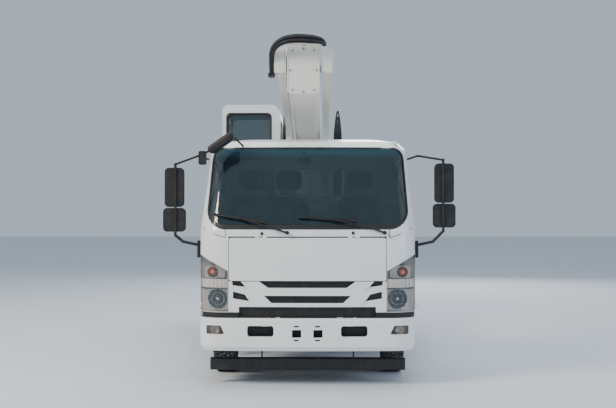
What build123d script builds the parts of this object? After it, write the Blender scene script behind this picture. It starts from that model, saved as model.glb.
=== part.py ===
"""Cherry picker truck: a forward-control light truck with a slewing two-stage lift.

A parallelogram riser of two slim arms stands on the turret and lies forward over the cab. At
its head a knuckle carries the root of a telescopic boom, which lies back between the riser arms
to a work basket behind the deck. An operator's cabin rides on the turret beside the boom.

Millimetres. +Z is up, the front of the truck faces -Y, and the origin lies on the ground in
the middle of the overall length and width.
"""

import os
from math import asin, atan2, cos, degrees, radians, sin, tan

from build123d import *

os.makedirs("parts", exist_ok=True)

# Whole vehicle
overall_length = 7600
front_y = -overall_length / 2
rear_y = overall_length / 2
body_half_width = 1090
sides = (-1, 1)
running_gap = 0.4  # a pin in its bore, a sliding pad on its tube
panel_gap = 5.2  # between a panel and the body round it
seat_gap = 0.3  # between pieces that only rest on each other

# Wheels and axles
front_overhang = 1110
wheelbase = 3815
front_axle_y = front_y + front_overhang
rear_axle_y = front_axle_y + wheelbase
tyre_radius = 383
tyre_width = 215
rim_flange_radius = 236
rim_width = 176
rim_wall = 7
wheel_offset = 115  # from the rim's centre plane to its mounting face
disc_thickness = 10
front_track = 1680
rear_track = 1650
kingpin_x = 700
kingpin_radius = 20
spindle_radius = 32
hub_radius = 82

# Chassis frame
frame_width = 850
frame_top = 820
rail_height = 190
rail_flange = 65
rail_wall = 8
frame_front_y = front_y + 400
frame_rear_y = front_y + 6450
rail_centre_x = (frame_width - rail_flange) / 2

# Cab
cab_rear = 1800  # behind the bumper's face
cab_floor = 940
cab_floor_thickness = 40
cab_wall = 45
cab_bottom = 640
arch_radius = 470
cab_sections = (  # height, front edge behind the bumper's face, half width, rear edge
    (cab_bottom, 62, 1008, cab_rear),
    (1180, 55, 1017, cab_rear),
    (1440, 75, 1015, cab_rear),
    (2215, 445, 945, cab_rear - 10),
    (2290, 545, 880, cab_rear - 40),
    (2328, 820, 740, cab_rear - 200),
)
front_bow = 45  # how far the front bulges across its width
front_corner = 230
door_front = 430
door_rear = 1500
door_bottom = 905

# Subframe, outriggers and deck
subframe_height = 110
subframe_top = frame_top + subframe_height
deck_top = 1030
deck_front_y = front_y + 2330
deck_rear_y = frame_rear_y + 60
front_outrigger_y = front_y + 2080
rear_jack_y = frame_rear_y - 190
beam_width = 110
beam_height = 130
beam_clearance = 6
housing_wall = 8
jack_radius = 55
jack_x = 1035
rear_jack_x = 960
jack_bottom = 470
jack_top = 1010
pad_radius = 110
pad_thickness = 22
pad_bottom = 400
rod_radius = 34

# Turret
turret_y = rear_axle_y - 25
turret_radius = 430
turret_base = 1150
turret_plate = 40
boom_x = -45  # the boom lies a little to one side of the turret's centre

# Riser: two arms and two links form a parallelogram on each side
arm_width = 75
arm_height = 110
arm_x = 223.5
link_height = 56
riser_foot = (turret_y, 2400)
riser_head = (front_y + 850, 3060)
link_shift = (124, 116)
riser_rise = degrees(atan2(riser_head[1] - riser_foot[1], riser_foot[0] - riser_head[0]))
pivot_radius = 30
cheek_inner = (170, 180)
cheek_outer = (267, 281)

# Telescopic boom, from its root over the cab to its tip behind the deck
boom_slope = 6.0
boom_root = (front_y + 600, 3042)
boom_pivot_along = 181
boom_corner = 45
boom_lengths = (  # name, start and end along the boom, width, height, wall
    ("boom_outer", 0, 5300, 310, 355, 10),
    ("boom_middle", 450, 5480, 264, 309, 9),
    ("boom_inner", 750, 5700, 220, 265, 8),
)
boom_pin_radius = 35
tip_pivot = 5830
luff_horn = (-150, 244)  # from the boom's pivot
luff_lug = (1250, 95)  # along the boom, and above its top
luff_barrel_radius = 42
luff_rod_radius = 22
riser_eye_half = 40
luff_eye_half = 26
riser_cylinder_foot = (turret_y - 580, 1340)
riser_cylinder_head = (turret_y - 1180, 2400)
riser_barrel_radius = 58
riser_rod_radius = 36

# Operator's cabin
cabin_width = 766
cabin_inner = -420
cabin_middle = cabin_inner - cabin_width / 2
cabin_front = turret_y - 500
cabin_depth = 1050
cabin_bracket_height = 50
cabin_floor = turret_base + turret_plate + cabin_bracket_height + seat_gap
cabin_top = 3030
cabin_wall = 35

# Basket
post_y = rear_y - 900
post_radius = 42
basket_width = 1300
basket_depth = 650
basket_floor = 1230
basket_top = 2290
rail_tube = 17


def across(y):
    """The plane of a cross-section of the truck at that place along it: x across, y up."""
    return Plane.XZ.offset(-y)


def along(x):
    """The plane of a side outline at that place across the truck: x rearwards, y up."""
    return Plane.YZ.offset(x)


def axle_line(y, z=tyre_radius):
    """A line across the truck."""
    return Axis((0, y, z), (1, 0, 0))


def rounded(sketch, points, radius):
    """Draws a closed outline through the points with its corners rounded."""
    Polygon(*points, align=None)
    if radius:
        fillet(sketch.vertices(), radius)


def mirrored_points(points, side):
    """The points on the named side of the truck."""
    return [(side * x, y) for x, y in points]


def save(builder, name):
    """Names the piece and writes it to its own file."""
    builder.part.label = name
    export_step(builder.part, f"parts/{name}.step")


# Chassis frame: two channel rails with cross-members
crossmember_ys = [frame_front_y + d for d in (35, 1850, 2700, 3600, 5200, 6015)]
with BuildPart() as chassis_frame:
    with BuildSketch(across(frame_front_y)):
        with Locations(*[(s * rail_centre_x, frame_top - rail_height / 2) for s in sides]):
            Rectangle(rail_flange, rail_height)
        inner_x = rail_centre_x - rail_wall / 2
        with Locations(*[(s * inner_x, frame_top - rail_height / 2) for s in sides]):
            Rectangle(rail_flange - rail_wall, rail_height - 2 * rail_wall, mode=Mode.SUBTRACT)
    extrude(amount=frame_front_y - frame_rear_y)
    for y in crossmember_ys:
        with Locations((0, y, frame_top - rail_height / 2)):
            Box(frame_width - 2 * rail_wall + 2, 70, rail_height - 2 * rail_wall)
        with Locations((0, y, frame_top - rail_height / 2)):
            Box(frame_width - 4 * rail_flange, 54, rail_height, mode=Mode.SUBTRACT)
            Box(frame_width - 4 * rail_flange, 70, rail_height - 60)
save(chassis_frame, "chassis_frame")

# Engine and gearbox as one plain block between the rails
with BuildPart() as engine_block:
    with Locations((0, front_axle_y + 60, 700)):
        Box(560, 880, 470)
    with Locations((0, front_axle_y + 60 + 440 + 230, 650)):
        Box(330, 460, 300)
    for s in sides:
        with Locations((s * 340, front_axle_y + 60, 722)):
            Box(153.4, 120, 60)
save(engine_block, "engine_block")


def leaf_spring(axle_y, half_length, seat_z, width, leaves):
    """A pair of leaf packs under the rails, arched up at both ends to their eyes."""
    eye_z = frame_top - rail_height - 55
    for s in sides:
        with BuildSketch(along(s * rail_centre_x)) as leaves_side:
            with BuildLine():
                ThreePointArc(
                    (axle_y - half_length, eye_z), (axle_y, seat_z), (axle_y + half_length, eye_z)
                )
                Line((axle_y + half_length, eye_z), (axle_y + half_length, eye_z - 12))
                ThreePointArc(
                    (axle_y + half_length, eye_z - 12),
                    (axle_y, seat_z - 12 * leaves),
                    (axle_y - half_length, eye_z - 12),
                )
                Line((axle_y - half_length, eye_z - 12), (axle_y - half_length, eye_z))
            make_face()
        extrude(leaves_side.sketch, amount=width / 2, both=True)
        for end in (-1, 1):
            with Locations((s * rail_centre_x, axle_y + end * (half_length + 18), eye_z - 6)):
                Cylinder(24, width, rotation=(0, 90, 0))
            hanger_z = (eye_z + frame_top - rail_height) / 2
            with Locations((s * rail_centre_x, axle_y + end * (half_length + 18), hanger_z)):
                Box(width, 34, frame_top - rail_height - eye_z)


# Front axle: a dropped beam with kingpin bosses, on leaf springs
axle_beam_z = tyre_radius - 45
with BuildPart() as front_axle:
    with BuildSketch(across(front_axle_y)) as beam:
        rounded(
            beam,
            [
                (-kingpin_x, tyre_radius + 30), (-kingpin_x + 90, tyre_radius + 20),
                (-470, axle_beam_z), (470, axle_beam_z),
                (kingpin_x - 90, tyre_radius + 20), (kingpin_x, tyre_radius + 30),
                (kingpin_x, tyre_radius - 40), (kingpin_x - 70, tyre_radius - 50),
                (450, axle_beam_z - 85), (-450, axle_beam_z - 85),
                (-kingpin_x + 70, tyre_radius - 50), (-kingpin_x, tyre_radius - 40),
            ],
            8,
        )
    extrude(amount=34, both=True)
    for s in sides:
        with Locations((s * kingpin_x, front_axle_y, tyre_radius)):
            Cylinder(42, 110)
            Cylinder(kingpin_radius + running_gap, 110, mode=Mode.SUBTRACT)
    leaf_spring(front_axle_y, 600, axle_beam_z + 22, 70, 2)
    for s in sides:
        with Locations((s * rail_centre_x, front_axle_y, axle_beam_z)):
            Box(86, 110, 44)
save(front_axle, "front_axle")

# Rear axle: banjo housing, tubes, springs and the propeller shaft
rear_hub_face = rear_track / 2
with BuildPart() as rear_axle:
    with Locations((0, rear_axle_y, tyre_radius)):
        Sphere(185)
    with BuildSketch(Plane.YZ):
        with Locations((rear_axle_y, tyre_radius)):
            Circle(68)
    extrude(amount=rear_hub_face - 175, both=True)
    with BuildSketch(Plane.YZ):
        with Locations((rear_axle_y, tyre_radius)):
            Circle(spindle_radius + 8)
    extrude(amount=rear_hub_face + 60, both=True)
    leaf_spring(rear_axle_y, 650, tyre_radius + 92, 76, 4)
    for s in sides:
        with Locations((s * rail_centre_x, rear_axle_y, tyre_radius + 60)):
            Box(90, 130, 60)
    shaft_front = front_axle_y + 60 + 440 + 460
    with BuildSketch(across(shaft_front + seat_gap)):
        with Locations((0, 560)):
            Circle(42)
    with BuildSketch(across(rear_axle_y - 150)):
        with Locations((0, tyre_radius + 10)):
            Circle(42)
    loft(ruled=True)
save(rear_axle, "rear_axle")

# Steering knuckles: a yoke round the axle's boss, a kingpin and a spindle
for s, name in ((1, "left_knuckle"), (-1, "right_knuckle")):
    with BuildPart() as knuckle:
        for up in (-1, 1):
            with Locations((s * kingpin_x, front_axle_y, tyre_radius + up * (55 + 3 + 12))):
                Cylinder(40, 24)
        with Locations((s * kingpin_x, front_axle_y, tyre_radius)):
            Cylinder(kingpin_radius, 170)
        with Locations((s * (kingpin_x + 62), front_axle_y, tyre_radius)):
            Box(26, 110, 164)
        for up in (-1, 1):
            with Locations((s * (kingpin_x + 32), front_axle_y, tyre_radius + up * 70)):
                Box(70, 76, 24)
        with BuildSketch(Plane.YZ.offset(s * (kingpin_x + 70))):
            with Locations((front_axle_y, tyre_radius)):
                Circle(spindle_radius)
        extrude(amount=s * 178)
        with BuildSketch(Plane.YZ.offset(s * (kingpin_x + 75))):
            with Locations((front_axle_y, tyre_radius)):
                Circle(165)
        extrude(amount=s * 14)
    save(knuckle, name)


def tyre(centre_x, axle_y):
    """A tyre with bulged walls and rounded shoulders, closed down to the rim's flange."""
    half = tyre_width / 2
    bead = rim_flange_radius + seat_gap
    shoulder = tyre_radius - 16
    with BuildSketch(across(axle_y)) as section:
        with BuildLine():
            Line((centre_x - 84, tyre_radius + bead), (centre_x + 84, tyre_radius + bead))
            ThreePointArc(
                (centre_x + 84, tyre_radius + bead),
                (centre_x + half, tyre_radius + (bead + shoulder) / 2),
                (centre_x + half - 12, tyre_radius + shoulder),
            )
            Line(
                (centre_x + half - 12, tyre_radius + shoulder),
                (centre_x + half - 26, 2 * tyre_radius - 3),
            )
            ThreePointArc(
                (centre_x + half - 26, 2 * tyre_radius - 3),
                (centre_x, 2 * tyre_radius),
                (centre_x - half + 26, 2 * tyre_radius - 3),
            )
            Line(
                (centre_x - half + 26, 2 * tyre_radius - 3),
                (centre_x - half + 12, tyre_radius + shoulder),
            )
            ThreePointArc(
                (centre_x - half + 12, tyre_radius + shoulder),
                (centre_x - half, tyre_radius + (bead + shoulder) / 2),
                (centre_x - 84, tyre_radius + bead),
            )
        make_face()
    revolve(section.sketch, axis=axle_line(axle_y))


def rim(centre_x, axle_y, disc_side):
    """A drop-centre rim with a pressed disc that meets the hub on the side named."""
    half = rim_width / 2
    barrel = [
        (-half, 236), (-half + 9, 236), (-half + 13, 222), (-42, 220), (-30, 204), (30, 204),
        (42, 220), (half - 13, 222), (half - 9, 236), (half, 236),
        (half, 228), (half - 8, 216), (46, 213), (34, 204 - rim_wall),
        (-34, 204 - rim_wall), (-46, 213), (-half + 8, 216), (-half, 228),
    ]
    face = wheel_offset - disc_thickness
    disc = [
        (20, 200), (30, 200), (70, 168), (face + disc_thickness, 140),
        (face + disc_thickness, hub_radius - 4), (face, hub_radius - 4), (face, 136), (62, 160),
    ]
    with BuildSketch(across(axle_y)) as section:
        Polygon(*[(centre_x + x, tyre_radius + r) for x, r in barrel], align=None)
        disc_points = [(centre_x + disc_side * x, tyre_radius + r) for x, r in disc]
        Polygon(*disc_points, align=None)
    revolve(section.sketch, axis=axle_line(axle_y))
    with BuildSketch(Plane.YZ.offset(centre_x + disc_side * 20)) as hand_holes:
        with Locations((axle_y, tyre_radius)):
            with PolarLocations(166, 8):
                Circle(19)
    extrude(hand_holes.sketch, amount=disc_side * 80, mode=Mode.SUBTRACT)


def hub(inner_x, outer_x, axle_y, bore, side):
    """The hub that the discs bolt to, bored for its spindle, closed by a cap."""
    with BuildSketch(Plane.YZ.offset(side * inner_x)) as body:
        with Locations((axle_y, tyre_radius)):
            Circle(hub_radius)
    extrude(body.sketch, amount=side * (outer_x - inner_x))
    with BuildSketch(Plane.YZ.offset(side * inner_x)) as hollow:
        with Locations((axle_y, tyre_radius)):
            Circle(bore)
    extrude(hollow.sketch, amount=side * (outer_x - inner_x - 25), mode=Mode.SUBTRACT)
    with BuildSketch(Plane.YZ.offset(side * outer_x)) as cap:
        with Locations((axle_y, tyre_radius)):
            Circle(hub_radius - 24)
    extrude(cap.sketch, amount=side * 22, taper=12)


for s, word in ((1, "left"), (-1, "right")):
    centre = s * front_track / 2
    with BuildPart() as front_tyre:
        tyre(centre, front_axle_y)
    save(front_tyre, f"front_{word}_tyre")
    with BuildPart() as front_rim:
        rim(centre, front_axle_y, s)
        hub(kingpin_x + 100, front_track / 2 + wheel_offset + 28, front_axle_y,
            spindle_radius + running_gap, s)
        with BuildSketch(Plane.YZ.offset(s * (kingpin_x + 100))):
            with Locations((front_axle_y, tyre_radius)):
                Circle(150)
                Circle(hub_radius - 2, mode=Mode.SUBTRACT)
        extrude(amount=s * 70)
    save(front_rim, f"front_{word}_rim")
    dual = wheel_offset + disc_thickness / 4
    with BuildPart() as rear_tyres:
        for inner in (-1, 1):
            tyre(s * rear_track / 2 + inner * dual, rear_axle_y)
    save(rear_tyres, f"rear_{word}_tyres")
    with BuildPart() as rear_rims:
        for inner in (-1, 1):
            rim(s * rear_track / 2 + inner * dual, rear_axle_y, -inner)
        hub(rear_track / 2 - 150, rear_track / 2 + 95, rear_axle_y,
            spindle_radius + 8 + running_gap, s)
        with BuildSketch(Plane.YZ.offset(s * (rear_track / 2 - 150))):
            with Locations((rear_axle_y, tyre_radius)):
                Circle(170)
                Circle(hub_radius - 2, mode=Mode.SUBTRACT)
        extrude(amount=s * 120)
    save(rear_rims, f"rear_{word}_rims")


def strut(start, end, width, height, spread=None):
    """A bar of rectangular section from one point to another, its width lying across."""
    run = Vector(*end) - Vector(*start)
    side = spread or (Vector(0, 0, 1).cross(run) if run.cross(Vector(0, 0, 1)).length else None)
    plane = Plane(origin=start, x_dir=side or (1, 0, 0), z_dir=run)
    with BuildSketch(plane) as section:
        Rectangle(width, height)
    extrude(section.sketch, amount=run.length)


def rod(start, end, radius, bore=0):
    """A round bar or tube from one point to another."""
    run = Vector(*end) - Vector(*start)
    with BuildSketch(Plane(origin=start, z_dir=run)) as section:
        Circle(radius)
        if bore:
            Circle(bore, mode=Mode.SUBTRACT)
    extrude(section.sketch, amount=run.length)


def cross_pin(centre_x, y, z, radius, inner, outer, both=True):
    """A pin across the truck, on both sides of a centre plane or on one."""
    for s in sides if both else (1,):
        with BuildSketch(Plane.YZ.offset(centre_x + s * inner)) as section:
            with Locations((y, z)):
                Circle(radius)
        extrude(section.sketch, amount=s * (outer - inner))


def cross_hole(centre_x, y, z, radius, half_width):
    """A bore across the truck through the piece being made."""
    with BuildSketch(Plane.YZ.offset(centre_x - half_width)) as section:
        with Locations((y, z)):
            Circle(radius)
    extrude(section.sketch, amount=2 * half_width, mode=Mode.SUBTRACT)


def plate(centre_x, points, inner, outer, radius=0):
    """A plate of the side outline given, standing on both sides of a centre plane."""
    for s in sides:
        with BuildSketch(Plane.YZ.offset(centre_x + s * inner)) as section:
            rounded(section, points, radius)
        extrude(section.sketch, amount=s * (outer - inner))


# Cab form, shared by the shell, the glass, the doors, the lid and the lamps
def cab_level(height):
    """Front edge, half width and rear edge of the cab at a height, between its sections."""
    for low, high in zip(cab_sections, cab_sections[1:]):
        if height <= high[0]:
            share = (height - low[0]) / (high[0] - low[0])
            return [a + share * (b - a) for a, b in zip(low[1:], high[1:])]
    return list(cab_sections[-1][1:])


def cab_outline(height, level, inset):
    """The cab's plan at one height, drawn in by the inset."""
    front, half_width, rear = level
    x = half_width - inset
    y_front = front_y + front + inset
    y_rear = front_y + rear - inset
    with BuildSketch(Plane.XY.offset(height)) as plan:
        with BuildLine():
            ThreePointArc((-x, y_front + front_bow), (0, y_front), (x, y_front + front_bow))
            Line((x, y_front + front_bow), (x, y_rear))
            Line((x, y_rear), (-x, y_rear))
            Line((-x, y_rear), (-x, y_front + front_bow))
        make_face()
        corners = plan.vertices().sort_by(Axis.Y)
        fillet(corners[:2], front_corner - inset)
        fillet(corners[2:], 50 - inset / 2)
    return plan.sketch


def cab_form(inset, bottom, roof_drop=0, top=None):
    """The solid inside the cab's skin, drawn in by the inset, from a height upwards."""
    heights = [bottom] + [row[0] for row in cab_sections if row[0] > bottom]
    if top:
        heights = [h for h in heights if h < top] + [top]
    outlines = []
    for height in heights:
        drop = roof_drop if height > cab_sections[2][0] else 0
        outlines.append(cab_outline(height - drop, cab_level(height), inset))
    loft(outlines, ruled=True)


def front_prism(points, radius=0, depth=430):
    """A prism behind a front outline, from ahead of the bumper back into the cab."""
    with BuildSketch(across(front_y - 40)) as outline:
        rounded(outline, points, radius)
    extrude(outline.sketch, amount=-depth)


screen_points = [(-950, 1450), (950, 1450), (914, 2228), (-914, 2228)]
screen_lower_corner = 180
screen_upper_corner = 110
lid_half_width = 728
lid_bottom = 972
lid_top = 1370
lid_swing_gap = 12  # over the lid, whose top edge rises as it opens
grille_bottom = 722
lamp_bottom = 684
lamp_outline = [(735, lamp_bottom), (1100, lamp_bottom), (1100, 1240), (1000, 1212),
                (735, 1062)]
rear_window = (375, 1785, 2065)
door_points = [
    (front_y + door_front, door_bottom), (front_y + door_rear, door_bottom),
    (front_y + door_rear, 2180), (front_y + door_front + 345, 2180),
    (front_y + door_front, 1445),
]
door_swing_room = 6  # the leaning top of the door sweeps rearwards before it leaves the doorway
door_leaf_points = [(min(y, front_y + door_rear - door_swing_room), z) for y, z in door_points]
door_window_points = [
    (front_y + door_front + 75, 1452), (front_y + door_rear - 70, 1452),
    (front_y + door_rear - 70, 2125), (front_y + door_front + 390, 2125),
]


def screen_cutter(grow):
    """The windscreen's opening: its front outline, only as deep as the front corners reach."""
    with BuildSketch(across(front_y - 40)) as outline:
        Polygon(*screen_points, align=None)
        fillet(outline.vertices().sort_by(Axis.Y)[:2], screen_lower_corner)
        fillet(outline.vertices().sort_by(Axis.Y)[-2:], screen_upper_corner)
        if grow:
            offset(amount=grow)
    extrude(outline.sketch, amount=-1100)
    with BuildSketch(Plane.YZ) as slant:
        Polygon(
            (front_y - 60, 1300), (front_y + 330, 1300), (front_y + 740, 2300),
            (front_y - 60, 2300), align=None,
        )
    extrude(slant.sketch, amount=1100, both=True, mode=Mode.INTERSECT)


def side_openings(points, radius, grow, inner=800, depth=300):
    """Prisms through both sides of the cab, from a side outline."""
    for s in sides:
        with BuildSketch(along(s * inner)) as outline:
            rounded(outline, points, radius)
            if grow:
                offset(amount=grow)
        extrude(outline.sketch, amount=s * depth)


def rear_window_sketch(y, grow):
    """The rear window's outline on a cross-section plane."""
    half, low, high = rear_window
    with BuildSketch(across(y)) as outline:
        rounded(outline, [(-half, low), (half, low), (half, high), (-half, high)], 50)
        if grow:
            offset(amount=grow)
    return outline.sketch


with BuildPart() as screen_opening:
    screen_cutter(0)
with BuildPart() as cab_cavity:
    cab_form(cab_wall, cab_floor + cab_floor_thickness, roof_drop=35)
with BuildPart() as under_floor:
    cab_form(cab_wall, cab_bottom - 20, top=cab_floor)
with BuildPart() as lamp_spaces:
    for s in sides:
        front_prism(mirrored_points(lamp_outline, s))
with BuildPart() as front_space:
    hole_half = lid_half_width + panel_gap
    hole_low = cab_bottom - 10
    hole_high = lid_top + lid_swing_gap
    front_prism(
        [(-hole_half, hole_low), (hole_half, hole_low), (hole_half, hole_high),
         (-hole_half, hole_high)], depth=230,
    )
with BuildPart() as doorways:
    side_openings(door_points, 45, panel_gap)

# Hinges: a barrel on the moving piece between two on the piece that carries it
hinge_radius = 8
hinge_barrel = 36
hinge_notch = 1.5
door_hinge_heights = (1010, 1340)
door_hinge_x = 1017
door_hinge_y = front_y + door_front - panel_gap / 2
lid_hinge_radius = 5
lid_hinge_x = 430
lid_hinge_y = front_y + 80
lid_hinge_z = lid_top - 2


def upright_barrels(x, y, heights, places, radius, length, mode=Mode.ADD):
    """Hinge barrels on an upright axis, at places counted from the middle one."""
    for z in heights:
        for n in places:
            with Locations((x, y, z + n * (hinge_barrel + seat_gap))):
                Cylinder(radius, length, mode=mode)


def lid_barrels(places, radius, length, mode=Mode.ADD):
    """Hinge barrels along the front lid's top edge."""
    for s in sides:
        for n in places:
            x = s * lid_hinge_x + n * (hinge_barrel + seat_gap)
            with Locations((x, lid_hinge_y, lid_hinge_z)):
                Cylinder(radius, length, rotation=(0, 90, 0), mode=mode)


notch_radius = hinge_radius + hinge_notch
lid_notch_radius = lid_hinge_radius + hinge_notch
notch_length = hinge_barrel + 2 * seat_gap

# Cab shell
with BuildPart() as cab_shell:
    cab_form(0, cab_bottom)
    add(cab_cavity.part, mode=Mode.SUBTRACT)
    add(under_floor.part, mode=Mode.SUBTRACT)
    with Locations((0, front_y + cab_rear - 100, (cab_bottom + cab_floor) / 2 - 12)):
        Box(1400, 300, cab_floor - cab_bottom, mode=Mode.SUBTRACT)
    add(screen_opening.part, mode=Mode.SUBTRACT)
    extrude(rear_window_sketch(front_y + cab_rear - 150, 0), amount=-300, mode=Mode.SUBTRACT)
    with BuildSketch(along(-1200)) as arch:
        with Locations((front_axle_y, tyre_radius)):
            Circle(arch_radius)
    extrude(amount=2400, mode=Mode.SUBTRACT)
    add(doorways.part, mode=Mode.SUBTRACT)
    add(lamp_spaces.part, mode=Mode.SUBTRACT)
    add(front_space.part, mode=Mode.SUBTRACT)
    for s in sides:
        for y in (front_y + 640, front_y + 1650):
            with Locations((s * rail_centre_x, y, (frame_top + cab_floor + seat_gap) / 2)):
                Box(90, 100, cab_floor - frame_top - seat_gap)
    for s in sides:
        x = s * door_hinge_x
        upright_barrels(x, door_hinge_y, door_hinge_heights, (0,), notch_radius, notch_length,
                        Mode.SUBTRACT)
        upright_barrels(x, door_hinge_y, door_hinge_heights, (-1, 1), hinge_radius, hinge_barrel)
        for n in (-1, 1):
            tab_x = s * lid_hinge_x + n * (hinge_barrel + seat_gap)
            with Locations((tab_x, lid_hinge_y + 1.5, lid_hinge_z + 10)):
                Box(hinge_barrel, 7, 20)
    lid_barrels((-1, 1), lid_hinge_radius, hinge_barrel)
save(cab_shell, "cab_shell")

# Windscreen and rear window
glass_depth = 5
with BuildPart() as screen_fill:
    screen_cutter(-seat_gap)
with BuildPart() as glass_core:
    cab_form(6 + glass_depth, 1300)
with BuildPart() as cab_glass:
    cab_form(6, 1300)
    add(glass_core.part, mode=Mode.SUBTRACT)
    add(screen_fill.part, mode=Mode.INTERSECT)
    extrude(rear_window_sketch(front_y + cab_rear - 30, -seat_gap), amount=-glass_depth)
save(cab_glass, "cab_glass")


def skin_piece(inset, thickness, prism, bottom=cab_bottom):
    """The layer of the cab's skin that lies inside a prism."""
    with BuildPart() as core:
        cab_form(inset + thickness, bottom - 1)
    with BuildPart() as piece:
        cab_form(inset, bottom)
        add(core.part, mode=Mode.SUBTRACT)
        add(prism, mode=Mode.INTERSECT)
    return piece


def side_half(piece, s):
    """The half of a piece on one side of the truck's centre plane."""
    return piece.split(Plane.YZ, keep=Keep.TOP if s > 0 else Keep.BOTTOM)


# Doors with their windows
with BuildPart() as door_fill:
    side_openings(door_leaf_points, 45, 0)
with BuildPart() as window_holes:
    side_openings(door_window_points, 60, 0)
with BuildPart() as window_fill:
    side_openings(door_window_points, 60, -seat_gap)
door_pair = skin_piece(0, cab_wall, door_fill.part, 800)
pane_pair = skin_piece(14, glass_depth, window_fill.part, 1300)
handle_y = front_y + door_rear - 130
for s, word in ((1, "left"), (-1, "right")):
    with BuildPart() as door:
        add(side_half(door_pair.part, s))
        add(window_holes.part, mode=Mode.SUBTRACT)
        x = s * door_hinge_x
        upright_barrels(x, door_hinge_y, door_hinge_heights, (-1, 1), notch_radius,
                        notch_length, Mode.SUBTRACT)
        upright_barrels(x, door_hinge_y, door_hinge_heights, (0,), hinge_radius, hinge_barrel)
        with Locations((s * 1014, handle_y, 1290)):
            Box(24, 190, 60, mode=Mode.SUBTRACT)
        with Locations((s * 1013, handle_y, 1298)):
            Box(14, 196, 22)
        with Locations((s * (1015 - cab_wall - 22), front_y + 960, 1330)):
            Box(50, 460, 60)
        with Locations((s * (1015 - cab_wall - 22), front_y + 960, 1030)):
            Box(56, 560, 120)
    save(door, f"{word}_door")
    with BuildPart() as pane:
        add(side_half(pane_pair.part, s))
    save(pane, f"{word}_door_glass")

# Front lid, hinged along its top edge
with BuildPart() as lid_prism:
    front_prism(
        [(-lid_half_width, lid_bottom), (lid_half_width, lid_bottom),
         (lid_half_width, lid_top), (-lid_half_width, lid_top)], 18, 230,
    )
lid_skin = skin_piece(2, 24, lid_prism.part)
with BuildPart() as front_lid:
    add(lid_skin.part)
    lid_barrels((-1, 1), lid_notch_radius, notch_length, Mode.SUBTRACT)
    for s in sides:
        for n in (-1, 1):
            tab_x = s * lid_hinge_x + n * (hinge_barrel + seat_gap)
            with Locations((tab_x, lid_hinge_y, lid_hinge_z + 10)):
                Box(notch_length, 2 * lid_notch_radius, 22, mode=Mode.SUBTRACT)
    lid_barrels((0,), lid_hinge_radius, hinge_barrel)
save(front_lid, "front_lid")

# Grille panel with its slots, and the dark band under it
slot_rows = (  # bottom, top, half width at the top, start and end of the side slots
    (900, 962, 450, 550, 680),
    (768, 832, 405, 520, 680),
)
band_half = 640
with BuildPart() as grille_prism:
    grille_half = lid_half_width + panel_gap - seat_gap
    grille_low = cab_bottom - 10
    front_prism(
        [(-grille_half, grille_low), (grille_half, grille_low),
         (grille_half, lid_bottom - panel_gap), (-grille_half, lid_bottom - panel_gap)],
        0, 230,
    )
with BuildPart() as slots:
    for low, high, half, start, end in slot_rows:
        with BuildSketch(across(front_y - 40)) as slot:
            Polygon((-half, high), (half, high), (half - 60, low), (-half + 60, low), align=None)
            for s in sides:
                side_slot = [(start, high - 6), (end, high - 6), (end, low), (start + 40, low)]
                Polygon(*mirrored_points(side_slot, s), align=None)
        extrude(amount=-260)
    with BuildSketch(across(front_y - 40)) as band:
        Polygon((-band_half, cab_bottom - 10), (band_half, cab_bottom - 10),
                (band_half, grille_bottom), (-band_half, grille_bottom), align=None)
    extrude(amount=-260)
grille_skin = skin_piece(4, 30, grille_prism.part)
mesh_skin = skin_piece(34, 8, grille_prism.part)
with BuildPart() as grille:
    add(grille_skin.part)
    add(slots.part, mode=Mode.SUBTRACT)
    add(mesh_skin.part)
save(grille, "grille")

# Headlamps: a housing with a bowl, closed by a lens that follows the corner
with BuildPart() as lamp_prism:
    for s in sides:
        with BuildSketch(across(front_y - 40)) as lamp_shape:
            Polygon(*mirrored_points(lamp_outline, s), align=None)
            offset(amount=-seat_gap)
        extrude(amount=-400)
lens_skin = skin_piece(1, 5, lamp_prism.part)
lens_back = 6 + seat_gap
housing_skin = skin_piece(lens_back, 38, lamp_prism.part)
lamp_plane = front_y + 140
lamp_bowls = (  # across, up, radius and depth: the main beam and the turn lamp
    (838, 800, 90, 62),
    (884, 1050, 46, 40),
)
bowl_wall = 6
bulb_radius = 11
with BuildPart() as bowl_cups:
    for s in sides:
        for x, z, radius, depth in lamp_bowls:
            with BuildSketch(across(lamp_plane - 100)) as cup:
                with Locations((s * x, z)):
                    Circle(radius + bowl_wall)
            extrude(amount=-100 - depth - bowl_wall)
with BuildPart() as lamp_housings:
    cab_form(lens_back, cab_bottom)
    add(bowl_cups.part, mode=Mode.INTERSECT)
    add(housing_skin.part)
    for s in sides:
        for x, z, radius, depth in lamp_bowls:
            curve = (radius ** 2 + depth ** 2) / (2 * depth)
            half_turn = asin(radius / curve) / 2
            bowl_bottom = lamp_plane + depth
            with BuildSketch(Plane.XY.offset(z)):
                with BuildLine():
                    ThreePointArc(
                        (s * x, bowl_bottom),
                        (s * x + curve * sin(half_turn), bowl_bottom - curve * (1 - cos(half_turn))),
                        (s * x + radius, lamp_plane),
                    )
                    Polyline((s * x + radius, lamp_plane), (s * x + radius, lamp_plane - 100),
                             (s * x, lamp_plane - 100), (s * x, bowl_bottom))
                make_face()
            revolve(axis=Axis((s * x, 0, z), (0, 1, 0)), mode=Mode.SUBTRACT)
            with Locations((s * x, bowl_bottom - 20, z)):
                Cylinder(bulb_radius, 48, rotation=(90, 0, 0))
with BuildPart() as headlamps:
    add(lens_skin.part)
    add(lamp_housings.part)
save(headlamps, "headlamps")

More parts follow.
